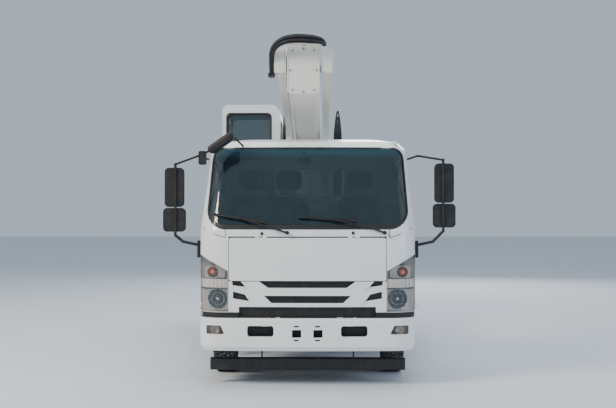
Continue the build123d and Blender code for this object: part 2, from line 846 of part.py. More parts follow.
# Dashboard with the steering column and wheel
wheel_centre = (560, front_y + 700, 1430)
wheel_tilt = 32
with BuildPart() as dashboard:
    with BuildSketch(along(-900)) as dash_side:
        rounded(
            dash_side,
            [(front_y + 190, 1080), (front_y + 190, 1330), (front_y + 260, 1395),
             (front_y + 520, 1400), (front_y + 560, 1330), (front_y + 470, 1080)], 25,
        )
    extrude(amount=1800)
    for s in sides:
        with Locations((s * 640, front_y + 330, 1032 + seat_gap)):
            Box(140, 160, 104)
    column_run = Vector(0, sin(radians(wheel_tilt)), cos(radians(wheel_tilt)))
    top = Vector(*wheel_centre)
    rod(tuple(top - column_run * 430), tuple(top - column_run * 20), 32)
    with BuildSketch(Plane(origin=wheel_centre, x_dir=(1, 0, 0), z_dir=column_run)) as hub_disc:
        Circle(70)
    extrude(amount=-45)
    wheel_plane = Plane(origin=wheel_centre, x_dir=(1, 0, 0), z_dir=column_run)
    with BuildSketch(Plane(wheel_centre, x_dir=(1, 0, 0), z_dir=wheel_plane.y_dir)) as grip:
        with Locations((205, 0)):
            Circle(16)
    revolve(axis=Axis(wheel_centre, column_run))
    with BuildSketch(wheel_plane) as spokes:
        Rectangle(400, 44)
        with Locations((0, -95)):
            Rectangle(44, 190)
    extrude(amount=-14)
save(dashboard, "dashboard")

# Seats: the driver's and a bench for two
with BuildPart() as cab_seats:
    for centre, width in ((545, 500), (-420, 860)):
        with BuildSketch(along(centre - width / 2)) as seat_side:
            rounded(
                seat_side,
                [(front_y + 960, 1180), (front_y + 960, 1300), (front_y + 1450, 1270),
                 (front_y + 1560, 1790), (front_y + 1660, 1780), (front_y + 1580, 1150)], 30,
            )
        extrude(amount=width)
        with Locations((centre, front_y + 1270, (980 + seat_gap + 1190) / 2)):
            Box(width - 120, 480, 210 - seat_gap)
    for x in (545, -220, -620):
        with Locations((x, front_y + 1605, 1945)):
            Box(290, 90, 210)
        for side in (-60, 60):
            with Locations((x + side, front_y + 1605, 1800)):
                Cylinder(8, 160)
save(cab_seats, "cab_seats")

# Front bumper: a shell that wraps both corners, with its air and lamp openings
bumper_bottom = 330
bumper_top = 630
bumper_reach = 560
bumper_levels = (  # height, front edge, half width
    (bumper_bottom, 22, 996),
    (bumper_bottom + 40, 2, 1008),
    (bumper_top - 20, 0, 1012),
    (bumper_top, 14, 1004),
)
with BuildPart() as bumper_core:
    loft(
        [cab_outline(h + (-1 if h < 400 else 1) * 0.5, (f, w, bumper_reach + 90), 55)
         for h, f, w in bumper_levels], ruled=True,
    )
with BuildPart() as front_bumper:
    loft([cab_outline(h, (f, w, bumper_reach), 0) for h, f, w in bumper_levels], ruled=True)
    add(bumper_core.part, mode=Mode.SUBTRACT)
    for s in sides:
        air = [(310, 462), (553, 462), (553, 562), (310, 562)]
        with BuildSketch(across(front_y - 20)) as air_hole:
            rounded(air_hole, mirrored_points(air, s), 24)
        extrude(amount=-140, mode=Mode.SUBTRACT)
        fog = [(760, 482), (935, 482), (935, 564), (800, 564)]
        with BuildSketch(across(front_y - 20)) as fog_hole:
            rounded(fog_hole, mirrored_points(fog, s), 12)
        extrude(amount=-400, mode=Mode.SUBTRACT)
        with BuildSketch(across(front_y - 20)) as plate_hole:
            with Locations((s * 98, 490)):
                Rectangle(84, 72)
        extrude(amount=-140, mode=Mode.SUBTRACT)
    stay_end = frame_front_y - seat_gap
    for s in sides:
        with Locations((s * rail_centre_x, (front_y + 50 + stay_end) / 2, 585)):
            Box(60, stay_end - front_y - 50, 60)
        with Locations((s * rail_centre_x, stay_end - 7, 680)):
            Box(60, 14, 230)
save(front_bumper, "front_bumper")

# Wipers, resting across the windscreen towards its right edge
def screen_point(x, z, lift):
    """A point in front of the windscreen's face."""
    front, half_width, rear = cab_level(z)
    reach = half_width - front_corner
    bow = front_bow * (x / half_width) ** 2
    if abs(x) > reach:
        beyond = abs(x) - reach
        bow += front_corner - (front_corner ** 2 - beyond ** 2) ** 0.5
    return (x, front_y + front + bow - lift, z)


with BuildPart() as wipers:
    for pivot, elbow, inner, outer in (
        ((-185, 1417), (-330, 1462), (-390, 1512), (-880, 1592)),
        ((715, 1417), (540, 1478), (460, 1526), (-80, 1566)),
    ):
        base = screen_point(*pivot, 22)
        with Locations(base):
            Cylinder(17, 41.9, rotation=(86, 0, 0))
        bend = screen_point(*elbow, 36)
        hold = ((inner[0] + outer[0]) / 2, (inner[1] + outer[1]) / 2)
        middle = screen_point(*hold, 30)
        rod(base, bend, 9)
        rod(bend, middle, 6)
        steps = 4
        for n in range(steps):
            a = [inner[i] + (outer[i] - inner[i]) * n / steps for i in (0, 1)]
            b = [inner[i] + (outer[i] - inner[i]) * (n + 1) / steps for i in (0, 1)]
            strut(screen_point(*a, 24), screen_point(*b, 24), 12, 20)
save(wipers, "wipers")

# Mirrors on tube arms at both front corners, and the kerb mirror over the windscreen
mirror_y = front_y + 330
mirror_stay = (964, front_y + 560, 2120)
stay_knee = (1040, mirror_y - 10, 2140)
kerb_mirror_place = (-819, 2262)
kerb_mirror_front = front_y + 240
kerb_foot = (-630, front_y + 491.5, 2250.2)
with BuildPart() as kerb_mirror:
    with BuildSketch(across(kerb_mirror_front)) as kerb_face:
        with Locations(kerb_mirror_place):
            SlotOverall(285, 84, rotation=35)
    extrude(amount=-120)
    fillet(kerb_mirror.edges().group_by(Axis.Y)[0], 32)
    fillet(kerb_mirror.edges().group_by(Axis.Y)[-1], 8)
with BuildPart() as mirrors:
    add(kerb_mirror.part)
    rod((-715, kerb_mirror_front + 80, 2330), kerb_foot, 9)
    rod((-905, kerb_mirror_front + 60, 2200), (-stay_knee[0], *stay_knee[1:]), 11)
    with Locations(kerb_foot):
        Sphere(12)
    with BuildSketch(across(stay_knee[1] - 28)) as clamp_face:
        with Locations((-stay_knee[0] + 42, stay_knee[2] - 18)):
            RectangleRounded(72, 130, 18)
    extrude(amount=-56)
    for s, x, lift in ((-1, 1262, 0), (1, 1288, 40)):
        for z, width, height in ((1842, 186, 372), (1535, 216, 226)):
            with BuildSketch(across(mirror_y - 30)) as face:
                with Locations((s * x, z + lift)):
                    RectangleRounded(width, height, 40)
            extrude(amount=-62, taper=4)
        stem_x = s * (x - 10)
        rod((stem_x, mirror_y - 36, 1390 + lift), (stem_x, mirror_y - 36, 2060 + lift), 13)
        knee = (s * stay_knee[0], *stay_knee[1:])
        rod((stem_x, mirror_y - 36, 2060 + lift), knee, 10)
        rod(knee, (s * mirror_stay[0], *mirror_stay[1:]), 10)
        rod((stem_x, mirror_y - 36, 1390 + lift), (s * 1180, mirror_y - 36, 1330), 14)
        rod((s * 1180, mirror_y - 36, 1330), (s * 1040, mirror_y - 36, 1300), 14)
        with Locations((stem_x, mirror_y - 36, 1390 + lift), (stem_x, mirror_y - 36, 2060 + lift),
                       (s * 1180, mirror_y - 36, 1330)):
            Sphere(15)
        with Locations(knee):
            Sphere(12)
        with Locations((s * 1029.2, mirror_y - 36, 1260)):
            Box(24, 60, 160)
save(mirrors, "mirrors")

# Guards: a beam under the bumper, side rails between the wheels, and a rear bar with lamps
with BuildPart() as underrun_guards:
    with BuildSketch(Plane.YZ.offset(-915)) as beam_end:
        with Locations((front_y + 280, 183)):
            RectangleRounded(70, 115, 18)
    extrude(amount=1830)
    for s in sides:
        with BuildSketch(along(s * 425 + (seat_gap if s > 0 else -seat_gap - 12))) as bracket:
            rounded(
                bracket,
                [(front_y + 255, 200), (front_y + 305, 200), (front_y + 470, 640),
                 (front_y + 470, 800), (front_y + 405, 800), (front_y + 405, 690)], 0,
            )
        extrude(amount=12)
    guard_front = front_outrigger_y + 260
    guard_rear = rear_axle_y - 480
    guard_middle = (guard_front + guard_rear) / 2
    for s in sides:
        for z in (440, 600, 740):
            with Locations((s * 1050, guard_middle, z)):
                Box(28, guard_rear - guard_front, 70)
        for y in (guard_front + 150, guard_rear - 150):
            with Locations((s * 1028, y, 620)):
                Box(16, 50, 430)
            with Locations((s * (frame_width / 2 + seat_gap + 302), y, 800)):
                Box(604, 50, 38)
            with Locations((s * 1028, y, 800)):
                Box(16, 50, 38)
    rear_bar_y = frame_rear_y + 40
    with Locations((0, rear_bar_y, 520)):
        Box(2100, 60, 110)
    for s in sides:
        with Locations((s * 392, rear_bar_y, 680)):
            Box(60, 50, 230)
        with Locations((s * 392, frame_rear_y + 15 + seat_gap, 715)):
            Box(60, 30, 160)
save(underrun_guards, "underrun_guards")

with BuildPart() as rear_lamps:
    for s in sides:
        with Locations((s * 860, rear_bar_y + 46, 640)):
            Box(330, 40, 110)
        with Locations((s * 860, rear_bar_y, 580)):
            Box(60, 20, 10)
        with Locations((s * 860, rear_bar_y + 10, 632)):
            Box(60, 36, 114)
save(rear_lamps, "rear_lamps")

# Tank and lockers hung on the rails
with BuildPart() as fuel_tank:
    with BuildSketch(across(front_y + 2560)) as tank_end:
        with Locations((715, 640)):
            RectangleRounded(480, 330, 70)
    extrude(amount=-760)
    for y in (front_y + 2700, front_y + 3180):
        with Locations((frame_width / 2 + seat_gap + 26, y, 640)):
            Box(52, 60, 300)
    with Locations((830, front_y + 2700, 812)):
        Cylinder(45, 40)
save(fuel_tank, "fuel_tank")

with BuildPart() as side_lockers:
    with Locations((-715, front_y + 3300, 620)):
        Box(560, 900, 370)
    with Locations((-715, front_y + 2660, 680)):
        Box(560, 260, 260)
    for y in (front_y + 2660, front_y + 3000, front_y + 3600):
        with Locations((-431 - seat_gap, y, 700)):
            Box(12, 60, 180)
save(side_lockers, "side_lockers")

with BuildPart() as exhaust:
    with BuildSketch(across(front_y + 2180)) as muffler:
        with Locations((-250, 520)):
            RectangleRounded(260, 170, 80)
    extrude(amount=-560)
    rod((-250, front_axle_y + 500 + seat_gap, 520), (-250, front_y + 2190, 520), 32)
    rod((-250, front_y + 2730, 520), (-250, front_y + 3500, 520), 30)
    for y in (front_y + 2250, front_y + 2640):
        with Locations((-250, y, 618)):
            Box(30, 30, 40)
        with Locations((-300, y, 615)):
            Box(140, 30, 29)
save(exhaust, "exhaust")

# Mudguards over the rear wheels
with BuildPart() as rear_mudguards:
    for s in sides:
        with BuildSketch(along(s * 600)) as guard_arc:
            with Locations((rear_axle_y, tyre_radius)):
                Circle(452)
                Circle(448, mode=Mode.SUBTRACT)
            with Locations((rear_axle_y, tyre_radius - 300)):
                Rectangle(1000, 700, mode=Mode.SUBTRACT)
        extrude(amount=s * 470)
        for y in (rear_axle_y - 200, rear_axle_y + 200):
            with Locations((s * 700, y, 812)):
                Box(550, 40, 36)
save(rear_mudguards, "rear_mudguards")

# Subframe: longitudinals, the outrigger housing, the rear jack box and the slewing pedestal
jack_names = [("front_left", 1, jack_x, front_outrigger_y), ("front_right", -1, jack_x,
              front_outrigger_y), ("rear_left", 1, rear_jack_x, rear_jack_y),
              ("rear_right", -1, rear_jack_x, rear_jack_y)]
slot_height = beam_height + 2 * beam_clearance
slot_width = beam_width + 2 * beam_clearance
housing_bottom = frame_top + seat_gap
housing_height = slot_height + 2 * housing_wall
beam_z = housing_bottom + housing_height / 2
beam_y_offset = (slot_width + housing_wall) / 2
pedestal_top = 1108
with BuildPart() as subframe:
    for s in sides:
        with Locations((s * 372, (front_outrigger_y + frame_rear_y) / 2,
                        (frame_top + subframe_top + seat_gap) / 2)):
            Box(80, frame_rear_y - front_outrigger_y, subframe_height - seat_gap)
    with Locations((0, front_outrigger_y, beam_z)):
        Box(1900, 2 * slot_width + 3 * housing_wall, housing_height)
    for s in sides:
        with Locations((0, front_outrigger_y + s * beam_y_offset, beam_z)):
            Box(1910, slot_width, slot_height, mode=Mode.SUBTRACT)
    for s in sides:
        with Locations((s * 910, front_outrigger_y + s * beam_y_offset,
                        beam_z - beam_height / 2 - (beam_clearance + running_gap) / 2)):
            Box(60, slot_width - 10, beam_clearance - running_gap)
    with Locations((0, rear_jack_y, 880)):
        Box(2 * (rear_jack_x - 40), 120, 116)
    for s in sides:
        with BuildSketch(Plane.XY.offset(jack_bottom)) as rear_tube:
            with Locations((s * rear_jack_x, rear_jack_y)):
                Circle(jack_radius)
        extrude(amount=jack_top - jack_bottom - 30)
        with BuildSketch(Plane.XY.offset(jack_bottom - 1)) as rear_bore:
            with Locations((s * rear_jack_x, rear_jack_y)):
                Circle(rod_radius + running_gap)
        extrude(amount=jack_top - jack_bottom - 40, mode=Mode.SUBTRACT)
    with Locations((0, turret_y, 900)):
        Box(760, 900, 100)
    with BuildSketch(Plane.XY.offset(880)):
        with Locations((0, turret_y)):
            Circle(turret_radius - 30)
    extrude(amount=pedestal_top - 880)
    with BuildSketch(Plane.XY.offset(pedestal_top)):
        with Locations((0, turret_y)):
            Circle(turret_radius - 60)
    extrude(amount=turret_base - pedestal_top - seat_gap)
save(subframe, "subframe")

# Sliding beams with their jack tubes
for s, word in ((1, "left"), (-1, "right")):
    beam_y = front_outrigger_y + s * beam_y_offset
    with BuildPart() as outrigger_beam:
        with Locations((s * 250, beam_y, beam_z)):
            Box(1460, beam_width, beam_height)
        with Locations((s * 250, beam_y, beam_z)):
            Box(1480, beam_width - 16, beam_height - 16, mode=Mode.SUBTRACT)
        for way in sides:
            pad_z = beam_z + way * (beam_height + beam_clearance - running_gap) / 2
            with Locations((s * -440, beam_y, pad_z)):
                Box(60, beam_width - 20, beam_clearance - running_gap)
        with Locations((s * (jack_x - 20), front_outrigger_y + s * 30, beam_z)):
            Box(80, 2 * beam_y_offset + 30, beam_height)
        with BuildSketch(Plane.XY.offset(jack_bottom)) as tube:
            with Locations((s * jack_x, front_outrigger_y)):
                Circle(jack_radius)
        extrude(amount=jack_top - jack_bottom)
        with BuildSketch(Plane.XY.offset(jack_bottom - 1)) as tube_bore:
            with Locations((s * jack_x, front_outrigger_y)):
                Circle(rod_radius + running_gap)
        extrude(amount=jack_top - jack_bottom - 20, mode=Mode.SUBTRACT)
    save(outrigger_beam, f"{word}_outrigger_beam")

for name, s, x, y in jack_names:
    with BuildPart() as foot:
        with BuildSketch(Plane.XY.offset(pad_bottom)) as pad:
            with Locations((s * x, y)):
                Circle(pad_radius)
        extrude(amount=pad_thickness)
        with BuildSketch(Plane.XY.offset(pad_bottom + pad_thickness)) as socket:
            with Locations((s * x, y)):
                Circle(rod_radius + 18)
        extrude(amount=30, taper=25)
        with BuildSketch(Plane.XY.offset(pad_bottom + pad_thickness)) as leg:
            with Locations((s * x, y)):
                Circle(rod_radius)
        extrude(amount=540)
    save(foot, f"{name}_jack_foot")

# Deck: tread plate on cross bearers, open round the pedestal
with BuildPart() as deck:
    deck_middle = (deck_front_y + deck_rear_y) / 2
    deck_length = deck_rear_y - deck_front_y
    with Locations((0, deck_middle, deck_top - 50)):
        Box(2 * body_half_width, deck_length, 100)
    with Locations((0, deck_middle, deck_top - 55)):
        Box(2 * body_half_width - 80, deck_length - 80, 104, mode=Mode.SUBTRACT)
    with Locations((0, deck_middle, deck_top - 6)):
        Box(2 * body_half_width - 40, deck_length - 40, 12)
    for n in range(9):
        y = deck_front_y + 120 + n * (deck_length - 240) / 8
        with Locations((0, y, (subframe_top + deck_top - 12) / 2 + seat_gap / 2)):
            Box(2 * body_half_width - 60, 50, deck_top - 12 - subframe_top - seat_gap)
    with BuildSketch(Plane.XY.offset(subframe_top - 60)):
        with Locations((0, turret_y)):
            Circle(turret_radius + 40)
    extrude(amount=200, mode=Mode.SUBTRACT)
    for s in sides:
        with BuildSketch(Plane.XY.offset(subframe_top - 60)) as tube_hole:
            with Locations((s * rear_jack_x, rear_jack_y)):
                Circle(jack_radius + 10)
        extrude(amount=200, mode=Mode.SUBTRACT)
save(deck, "deck")


def boom_point(distance, lift=0):
    """A point beside the stowed boom: its distance from the root and height over the middle."""
    a = radians(boom_slope)
    return (
        boom_root[0] + distance * cos(a) + lift * sin(a),
        boom_root[1] - distance * sin(a) + lift * cos(a),
    )


boom_pivot = boom_point(boom_pivot_along)
horn = (boom_pivot[0] + luff_horn[0], boom_pivot[1] + luff_horn[1])
riser_foot_up = (riser_foot[0] + link_shift[0], riser_foot[1] + link_shift[1])
riser_head_up = (riser_head[0] + link_shift[0], riser_head[1] + link_shift[1])

# Turret: a column whose cheeks fork round the feet of the riser's arms and links
column_top = turret_base + 1050
with BuildPart() as turret_frame:
    with BuildSketch(Plane.XY.offset(turret_base)):
        with Locations((0, turret_y)):
            Circle(turret_radius)
    extrude(amount=turret_plate)
    with BuildSketch(along(boom_x - 150)) as column:
        rounded(
            column,
            [(turret_y - 340, turret_base), (turret_y + 400, turret_base),
             (turret_y + 260, turret_base + 560), (turret_y + 240, column_top),
             (turret_y - 340, column_top), (turret_y - 350, turret_base + 300)], 0,
        )
    extrude(amount=300)
    foot_y, foot_z = riser_foot
    up_y, up_z = riser_foot_up
    cheek = [
        (turret_y - 330, turret_base + 20), (turret_y + 390, turret_base + 20),
        (turret_y + 290, turret_base + 600), (up_y + 60, up_z + 10), (up_y + 15, up_z + 58),
        (up_y - 50, up_z + 58), (foot_y - 75, foot_z + 20), (foot_y - 85, foot_z - 40),
        (turret_y - 250, turret_base + 700),
    ]
    plate(boom_x, cheek, *cheek_inner)
    plate(boom_x, cheek, *cheek_outer)
    web = [(turret_y - 250, turret_base + 20), (turret_y + 300, turret_base + 20),
           (turret_y + 180, foot_z - 110), (turret_y - 120, foot_z - 110)]
    plate(boom_x, web, cheek_inner[1] - 1, cheek_outer[0] + 1)
    low_web = [(turret_y - 250, turret_base + 20), (turret_y + 300, turret_base + 20),
               (turret_y + 240, turret_base + 560), (turret_y - 190, turret_base + 560)]
    plate(boom_x, low_web, 149, cheek_inner[0] + 1)
    for y, z in (riser_foot, riser_foot_up):
        cross_pin(boom_x, y, z, pivot_radius, cheek_inner[0] + 1, cheek_outer[1] + 16)
        cross_pin(boom_x, y, z, pivot_radius + 16, cheek_outer[1], cheek_outer[1] + 10)
    lug = [(riser_cylinder_foot[0] - 42, riser_cylinder_foot[1] - 12),
           (riser_cylinder_foot[0] - 12, riser_cylinder_foot[1] + 42),
           (riser_cylinder_foot[0] + 42, riser_cylinder_foot[1] + 38),
           (turret_y - 330, riser_cylinder_foot[1] + 130),
           (turret_y - 330, riser_cylinder_foot[1] - 160)]
    plate(boom_x, lug, riser_eye_half + 2, riser_eye_half + 22)
    cross_pin(boom_x, *riser_cylinder_foot, 28, 0, riser_eye_half + 34)
    cabin_bracket_z = turret_base + turret_plate + cabin_bracket_height / 2
    with Locations(((cabin_inner + boom_x - 280) / 2 + 25, turret_y, cabin_bracket_z)):
        Box(abs(cabin_inner - boom_x + 280) + 110, 500, cabin_bracket_height)
    with Locations((cabin_middle, cabin_front + cabin_depth / 2, cabin_bracket_z)):
        Box(cabin_width - 60, cabin_depth - 120, cabin_bracket_height)
save(turret_frame, "turret_frame")


def cabin_form(inset, bottom, top):
    """The cabin's outer form, drawn in by the inset, between two heights."""
    half = cabin_width / 2 - inset
    low = cabin_front + inset
    high = cabin_front + cabin_depth - inset
    with BuildSketch(across(low)) as face:
        with BuildLine():
            Polyline((cabin_middle - half, bottom), (cabin_middle + half, bottom),
                     (cabin_middle + half, top), (cabin_middle - half, top),
                     (cabin_middle - half, bottom))
        make_face()
        fillet(face.vertices().sort_by(Axis.Y)[-2:].sort_by(Axis.X)[:1], 70 - inset / 2)
        fillet(face.vertices().sort_by(Axis.X)[-2:].sort_by(Axis.Y)[-1:], 135 - inset)
    extrude(face.sketch, amount=low - high)


cabin_door_points = [
    (cabin_front + 90, cabin_floor + 60), (cabin_front + 860, cabin_floor + 60),
    (cabin_front + 860, cabin_top - 110), (cabin_front + 90, cabin_top - 110),
]
cabin_outer_x = cabin_middle - cabin_width / 2


def cabin_side_prism(points, radius, grow, depth, start):
    """A prism inwards from the cabin's outer side."""
    with BuildSketch(along(start)) as outline:
        rounded(outline, points, radius)
        if grow:
            offset(amount=grow)
    extrude(outline.sketch, amount=depth)


cabin_hinge_y = cabin_front + 90 - panel_gap / 2
cabin_hinge_heights = (1500, 2500)
cabin_panes = (  # low and high across, bottom, top, of the front and rear windows
    (cabin_middle - 325, cabin_middle + 262, 1760, cabin_top - 115),
    (cabin_middle - 300, cabin_middle + 200, 1360, 1660),
)
side_pane = [(cabin_front + 110, 1760), (cabin_front + 900, 1760),
             (cabin_front + 900, cabin_top - 190), (cabin_front + 110, cabin_top - 190)]
with BuildPart() as cabin_room:
    cabin_form(cabin_wall, cabin_floor + cabin_wall, cabin_top - cabin_wall)
with BuildPart() as cabin_doorway:
    cabin_side_prism(cabin_door_points, 50, panel_gap, 100, cabin_outer_x - 20)
with BuildPart() as inner_side_window:
    cabin_side_prism(side_pane, 60, 0, 100, cabin_inner - 60)
with BuildPart() as operator_cab:
    cabin_form(0, cabin_floor, cabin_top)
    add(cabin_room.part, mode=Mode.SUBTRACT)
    add(cabin_doorway.part, mode=Mode.SUBTRACT)
    add(inner_side_window.part, mode=Mode.SUBTRACT)
    for low, high, bottom, top in cabin_panes:
        with BuildSketch(across(cabin_front - 10)) as front_window:
            rounded(front_window, [(low, bottom), (high, bottom), (high, top), (low, top)], 70)
        extrude(amount=-120, mode=Mode.SUBTRACT)
    low, high, bottom, top = cabin_panes[0]
    with BuildSketch(across(cabin_front + cabin_depth - 100)) as back_window:
        rounded(back_window, [(low, bottom), (high, bottom), (high, top), (low, top)], 70)
    extrude(amount=-150, mode=Mode.SUBTRACT)
    upright_barrels(cabin_outer_x, cabin_hinge_y, cabin_hinge_heights, (0,), notch_radius,
                    notch_length, Mode.SUBTRACT)
    upright_barrels(cabin_outer_x, cabin_hinge_y, cabin_hinge_heights, (-1, 1), hinge_radius,
                    hinge_barrel)
save(operator_cab, "operator_cab")

with BuildPart() as operator_cab_glass:
    for low, high, bottom, top in cabin_panes:
        with BuildSketch(across(cabin_front + 12)) as pane:
            rounded(pane, [(low, bottom), (high, bottom), (high, top), (low, top)], 70)
            offset(amount=-seat_gap)
        extrude(amount=-glass_depth)
    low, high, bottom, top = cabin_panes[0]
    with BuildSketch(across(cabin_front + cabin_depth - 17)) as rear_pane:
        rounded(rear_pane, [(low, bottom), (high, bottom), (high, top), (low, top)], 70)
        offset(amount=-seat_gap)
    extrude(amount=-glass_depth)
    cabin_side_prism(side_pane, 60, -seat_gap, glass_depth, cabin_inner - 20)
save(operator_cab_glass, "operator_cab_glass")

cabin_window = [(cabin_front + 160, 1740), (cabin_front + 800, 1740),
                (cabin_front + 800, cabin_top - 175), (cabin_front + 160, cabin_top - 175)]
with BuildPart() as operator_door:
    cabin_side_prism(cabin_door_points, 50, 0, cabin_wall, cabin_outer_x)
    with BuildSketch(along(cabin_outer_x - 1)) as window:
        rounded(window, cabin_window, 60)
    extrude(amount=60, mode=Mode.SUBTRACT)
    cabin_side_prism(cabin_window, 60, 0, glass_depth, cabin_outer_x + 12)
    upright_barrels(cabin_outer_x, cabin_hinge_y, cabin_hinge_heights, (-1, 1), notch_radius,
                    notch_length, Mode.SUBTRACT)
    upright_barrels(cabin_outer_x, cabin_hinge_y, cabin_hinge_heights, (0,), hinge_radius,
                    hinge_barrel)
    with Locations((cabin_outer_x - 14, cabin_front + 790, 1640)):
        Box(20, 26, 160)
    with Locations((cabin_outer_x - 5, cabin_front + 790, 1580), (cabin_outer_x - 5,
                   cabin_front + 790, 1700)):
        Box(12, 26, 26)
save(operator_door, "operator_door")

with BuildPart() as operator_seat:
    seat_x = cabin_middle - 60
    with BuildSketch(along(seat_x - 230)) as seat_side:
        rounded(
            seat_side,
            [(cabin_front + 330, 1600), (cabin_front + 330, 1700), (cabin_front + 740, 1680),
             (cabin_front + 830, 2300), (cabin_front + 920, 2290), (cabin_front + 840, 1590)], 30,
        )
    extrude(amount=460)
    floor_z = cabin_floor + cabin_wall + seat_gap
    with Locations((seat_x, cabin_front + 590, (floor_z + 1610) / 2)):
        Box(300, 380, 1610 - floor_z)
    with BuildSketch(along(cabin_middle + 200)) as console:
        rounded(
            console,
            [(cabin_front + 90, floor_z), (cabin_front + 90, 1640), (cabin_front + 330, 1780),
             (cabin_front + 420, 1740), (cabin_front + 420, floor_z)], 0,
        )
    extrude(amount=130)
    for y in (cabin_front + 200, cabin_front + 290):
        with Locations((cabin_middle + 265, y, 1785)):
            Cylinder(9, 200)
        with Locations((cabin_middle + 265, y, 1890)):
            Sphere(20)
save(operator_seat, "operator_seat")

# Riser arms, tied by a cross tube that hangs under the boom and carries the cylinder's lugs
tube_at = (riser_cylinder_head[0] - 66, riser_cylinder_head[1] + 61)
with BuildPart() as riser_arms:
    for s in sides:
        x = boom_x + s * arm_x
        strut((x, *riser_foot), (x, *riser_head), arm_width, arm_height, Vector(1, 0, 0))
        for y, z in (riser_foot, riser_head):
            with BuildSketch(along(x - arm_width / 2)) as eye:
                with Locations((y, z)):
                    Circle(arm_height / 2)
            extrude(amount=arm_width)
        rise = tan(radians(riser_rise))
        hanger = [(tube_at[0] + d, riser_foot[1] + (riser_foot[0] - tube_at[0] - d) * rise - 30)
                  for d in (-110, 130)]
        hanger += [(tube_at[0] + 45, tube_at[1] - 36), (tube_at[0] - 45, tube_at[1] - 36)]
        with BuildSketch(along(x - arm_width / 2 + 5)) as bracket:
            rounded(bracket, hanger, 0)
        extrude(amount=arm_width - 10)
    with BuildSketch(Plane.YZ.offset(boom_x)) as tube:
        with Locations(tube_at):
            Circle(30)
    extrude(amount=arm_x, both=True)
    head_y, head_z = riser_cylinder_head
    lug_shape = [(head_y - 42, head_z - 10), (head_y - 10, head_z - 42), (head_y + 38, head_z - 20),
                 (head_y + 42, head_z + 10), (tube_at[0] + 28, tube_at[1] + 20),
                 (tube_at[0] - 28, tube_at[1] + 20)]
    plate(boom_x, lug_shape, riser_eye_half + 1, riser_eye_half + 19)
    cross_pin(boom_x, head_y, head_z, 26, riser_eye_half + 1, riser_eye_half + 32)
    for y, z in (riser_foot, riser_head):
        cross_hole(boom_x, y, z, pivot_radius + running_gap, 400)
save(riser_arms, "riser_arms")

with BuildPart() as riser_links:
    for s in sides:
        x = boom_x + s * arm_x
        strut((x, *riser_foot_up), (x, *riser_head_up), arm_width - 15, link_height,
              Vector(1, 0, 0))
        for y, z in (riser_foot_up, riser_head_up):
            with BuildSketch(along(x - arm_width / 2)) as eye:
                with Locations((y, z)):
                    Circle(pivot_radius + 14)
            extrude(amount=arm_width)
    for y, z in (riser_foot_up, riser_head_up):
        cross_hole(boom_x, y, z, pivot_radius + running_gap, 400)
save(riser_links, "riser_links")

# Knuckle: two ear boxes at the riser's head that stay level and hold the boom between them
ear_front = boom_root[0]
hose_radius = 22
hose_end_z = 2968
ear_top = 3225
ear_low = 2967
with BuildPart() as knuckle_block:
    low_y, low_z = riser_head
    up_y, up_z = riser_head_up
    horn_y, horn_z = horn
    inner_ear = [
        (ear_front, ear_low), (low_y - 30, ear_low - 20), (low_y + 60, low_z - 50),
        (up_y + 62, up_z - 40), (up_y + 62, up_z + 30), (up_y + 20, ear_top),
        (horn_y + 60, ear_top), (horn_y + 28, horn_z + 26), (horn_y - 22, horn_z + 28),
        (ear_front, ear_top - 20),
    ]
    outer_ear = [
        (ear_front, ear_low), (low_y - 30, ear_low - 20), (low_y + 60, low_z - 50),
        (up_y + 62, up_z - 40), (up_y + 62, up_z + 30), (up_y + 20, ear_top),
        (ear_front, ear_top),
    ]
    plate(boom_x, inner_ear, *cheek_inner)
    plate(boom_x, outer_ear, *cheek_outer)
    front_wall = [(ear_front, ear_low), (ear_front + 20, ear_low), (ear_front + 20, ear_top),
                  (ear_front, ear_top)]
    plate(boom_x, front_wall, cheek_inner[0], cheek_outer[1])
    lid_wall = [(ear_front, ear_top - 12), (low_y, ear_top - 12), (low_y, ear_top),
                (ear_front, ear_top)]
    plate(boom_x, lid_wall, cheek_inner[1] - 1, cheek_outer[1])
    for y, z in (riser_head, riser_head_up):
        cross_pin(boom_x, y, z, pivot_radius, cheek_inner[0] + 1, cheek_outer[1] + 16)
        cross_pin(boom_x, y, z, pivot_radius + 16, cheek_outer[1], cheek_outer[1] + 10)
    cross_pin(boom_x, *boom_pivot, boom_pin_radius, 0, cheek_inner[1])
    cross_pin(boom_x, *horn, 18, 0, cheek_inner[1])
    with Locations((boom_x - 314, ear_front + 80, hose_end_z - seat_gap - 20)):
        Box(68, 64, 40)
save(knuckle_block, "knuckle_block")


def boom_section(width, height, cut, mode=Mode.ADD):
    """A box section whose lower corners are cut off, in the boom's own cross-section."""
    w, h = width / 2, height / 2
    Polygon((-w, h), (-w, -h + cut), (-w + cut, -h), (w - cut, -h), (w, -h + cut), (w, h),
            align=None, mode=mode)


def boom_plane(distance):
    """A plane across the stowed boom at a distance from its root."""
    y, z = boom_point(distance)
    a = radians(boom_slope)
    return Plane(origin=(boom_x, y, z), x_dir=(1, 0, 0), z_dir=(0, -cos(a), sin(a)))


def boom_tube(start, end, width, height, wall):
    """One telescopic section between two distances along the boom."""
    plane = boom_plane(start)
    with BuildSketch(plane) as outer:
        boom_section(width, height, boom_corner)
    extrude(outer.sketch, amount=start - end)
    with BuildSketch(plane) as inner:
        boom_section(width - 2 * wall, height - 2 * wall, boom_corner - wall / 2)
    extrude(inner.sketch, amount=start - end, mode=Mode.SUBTRACT)


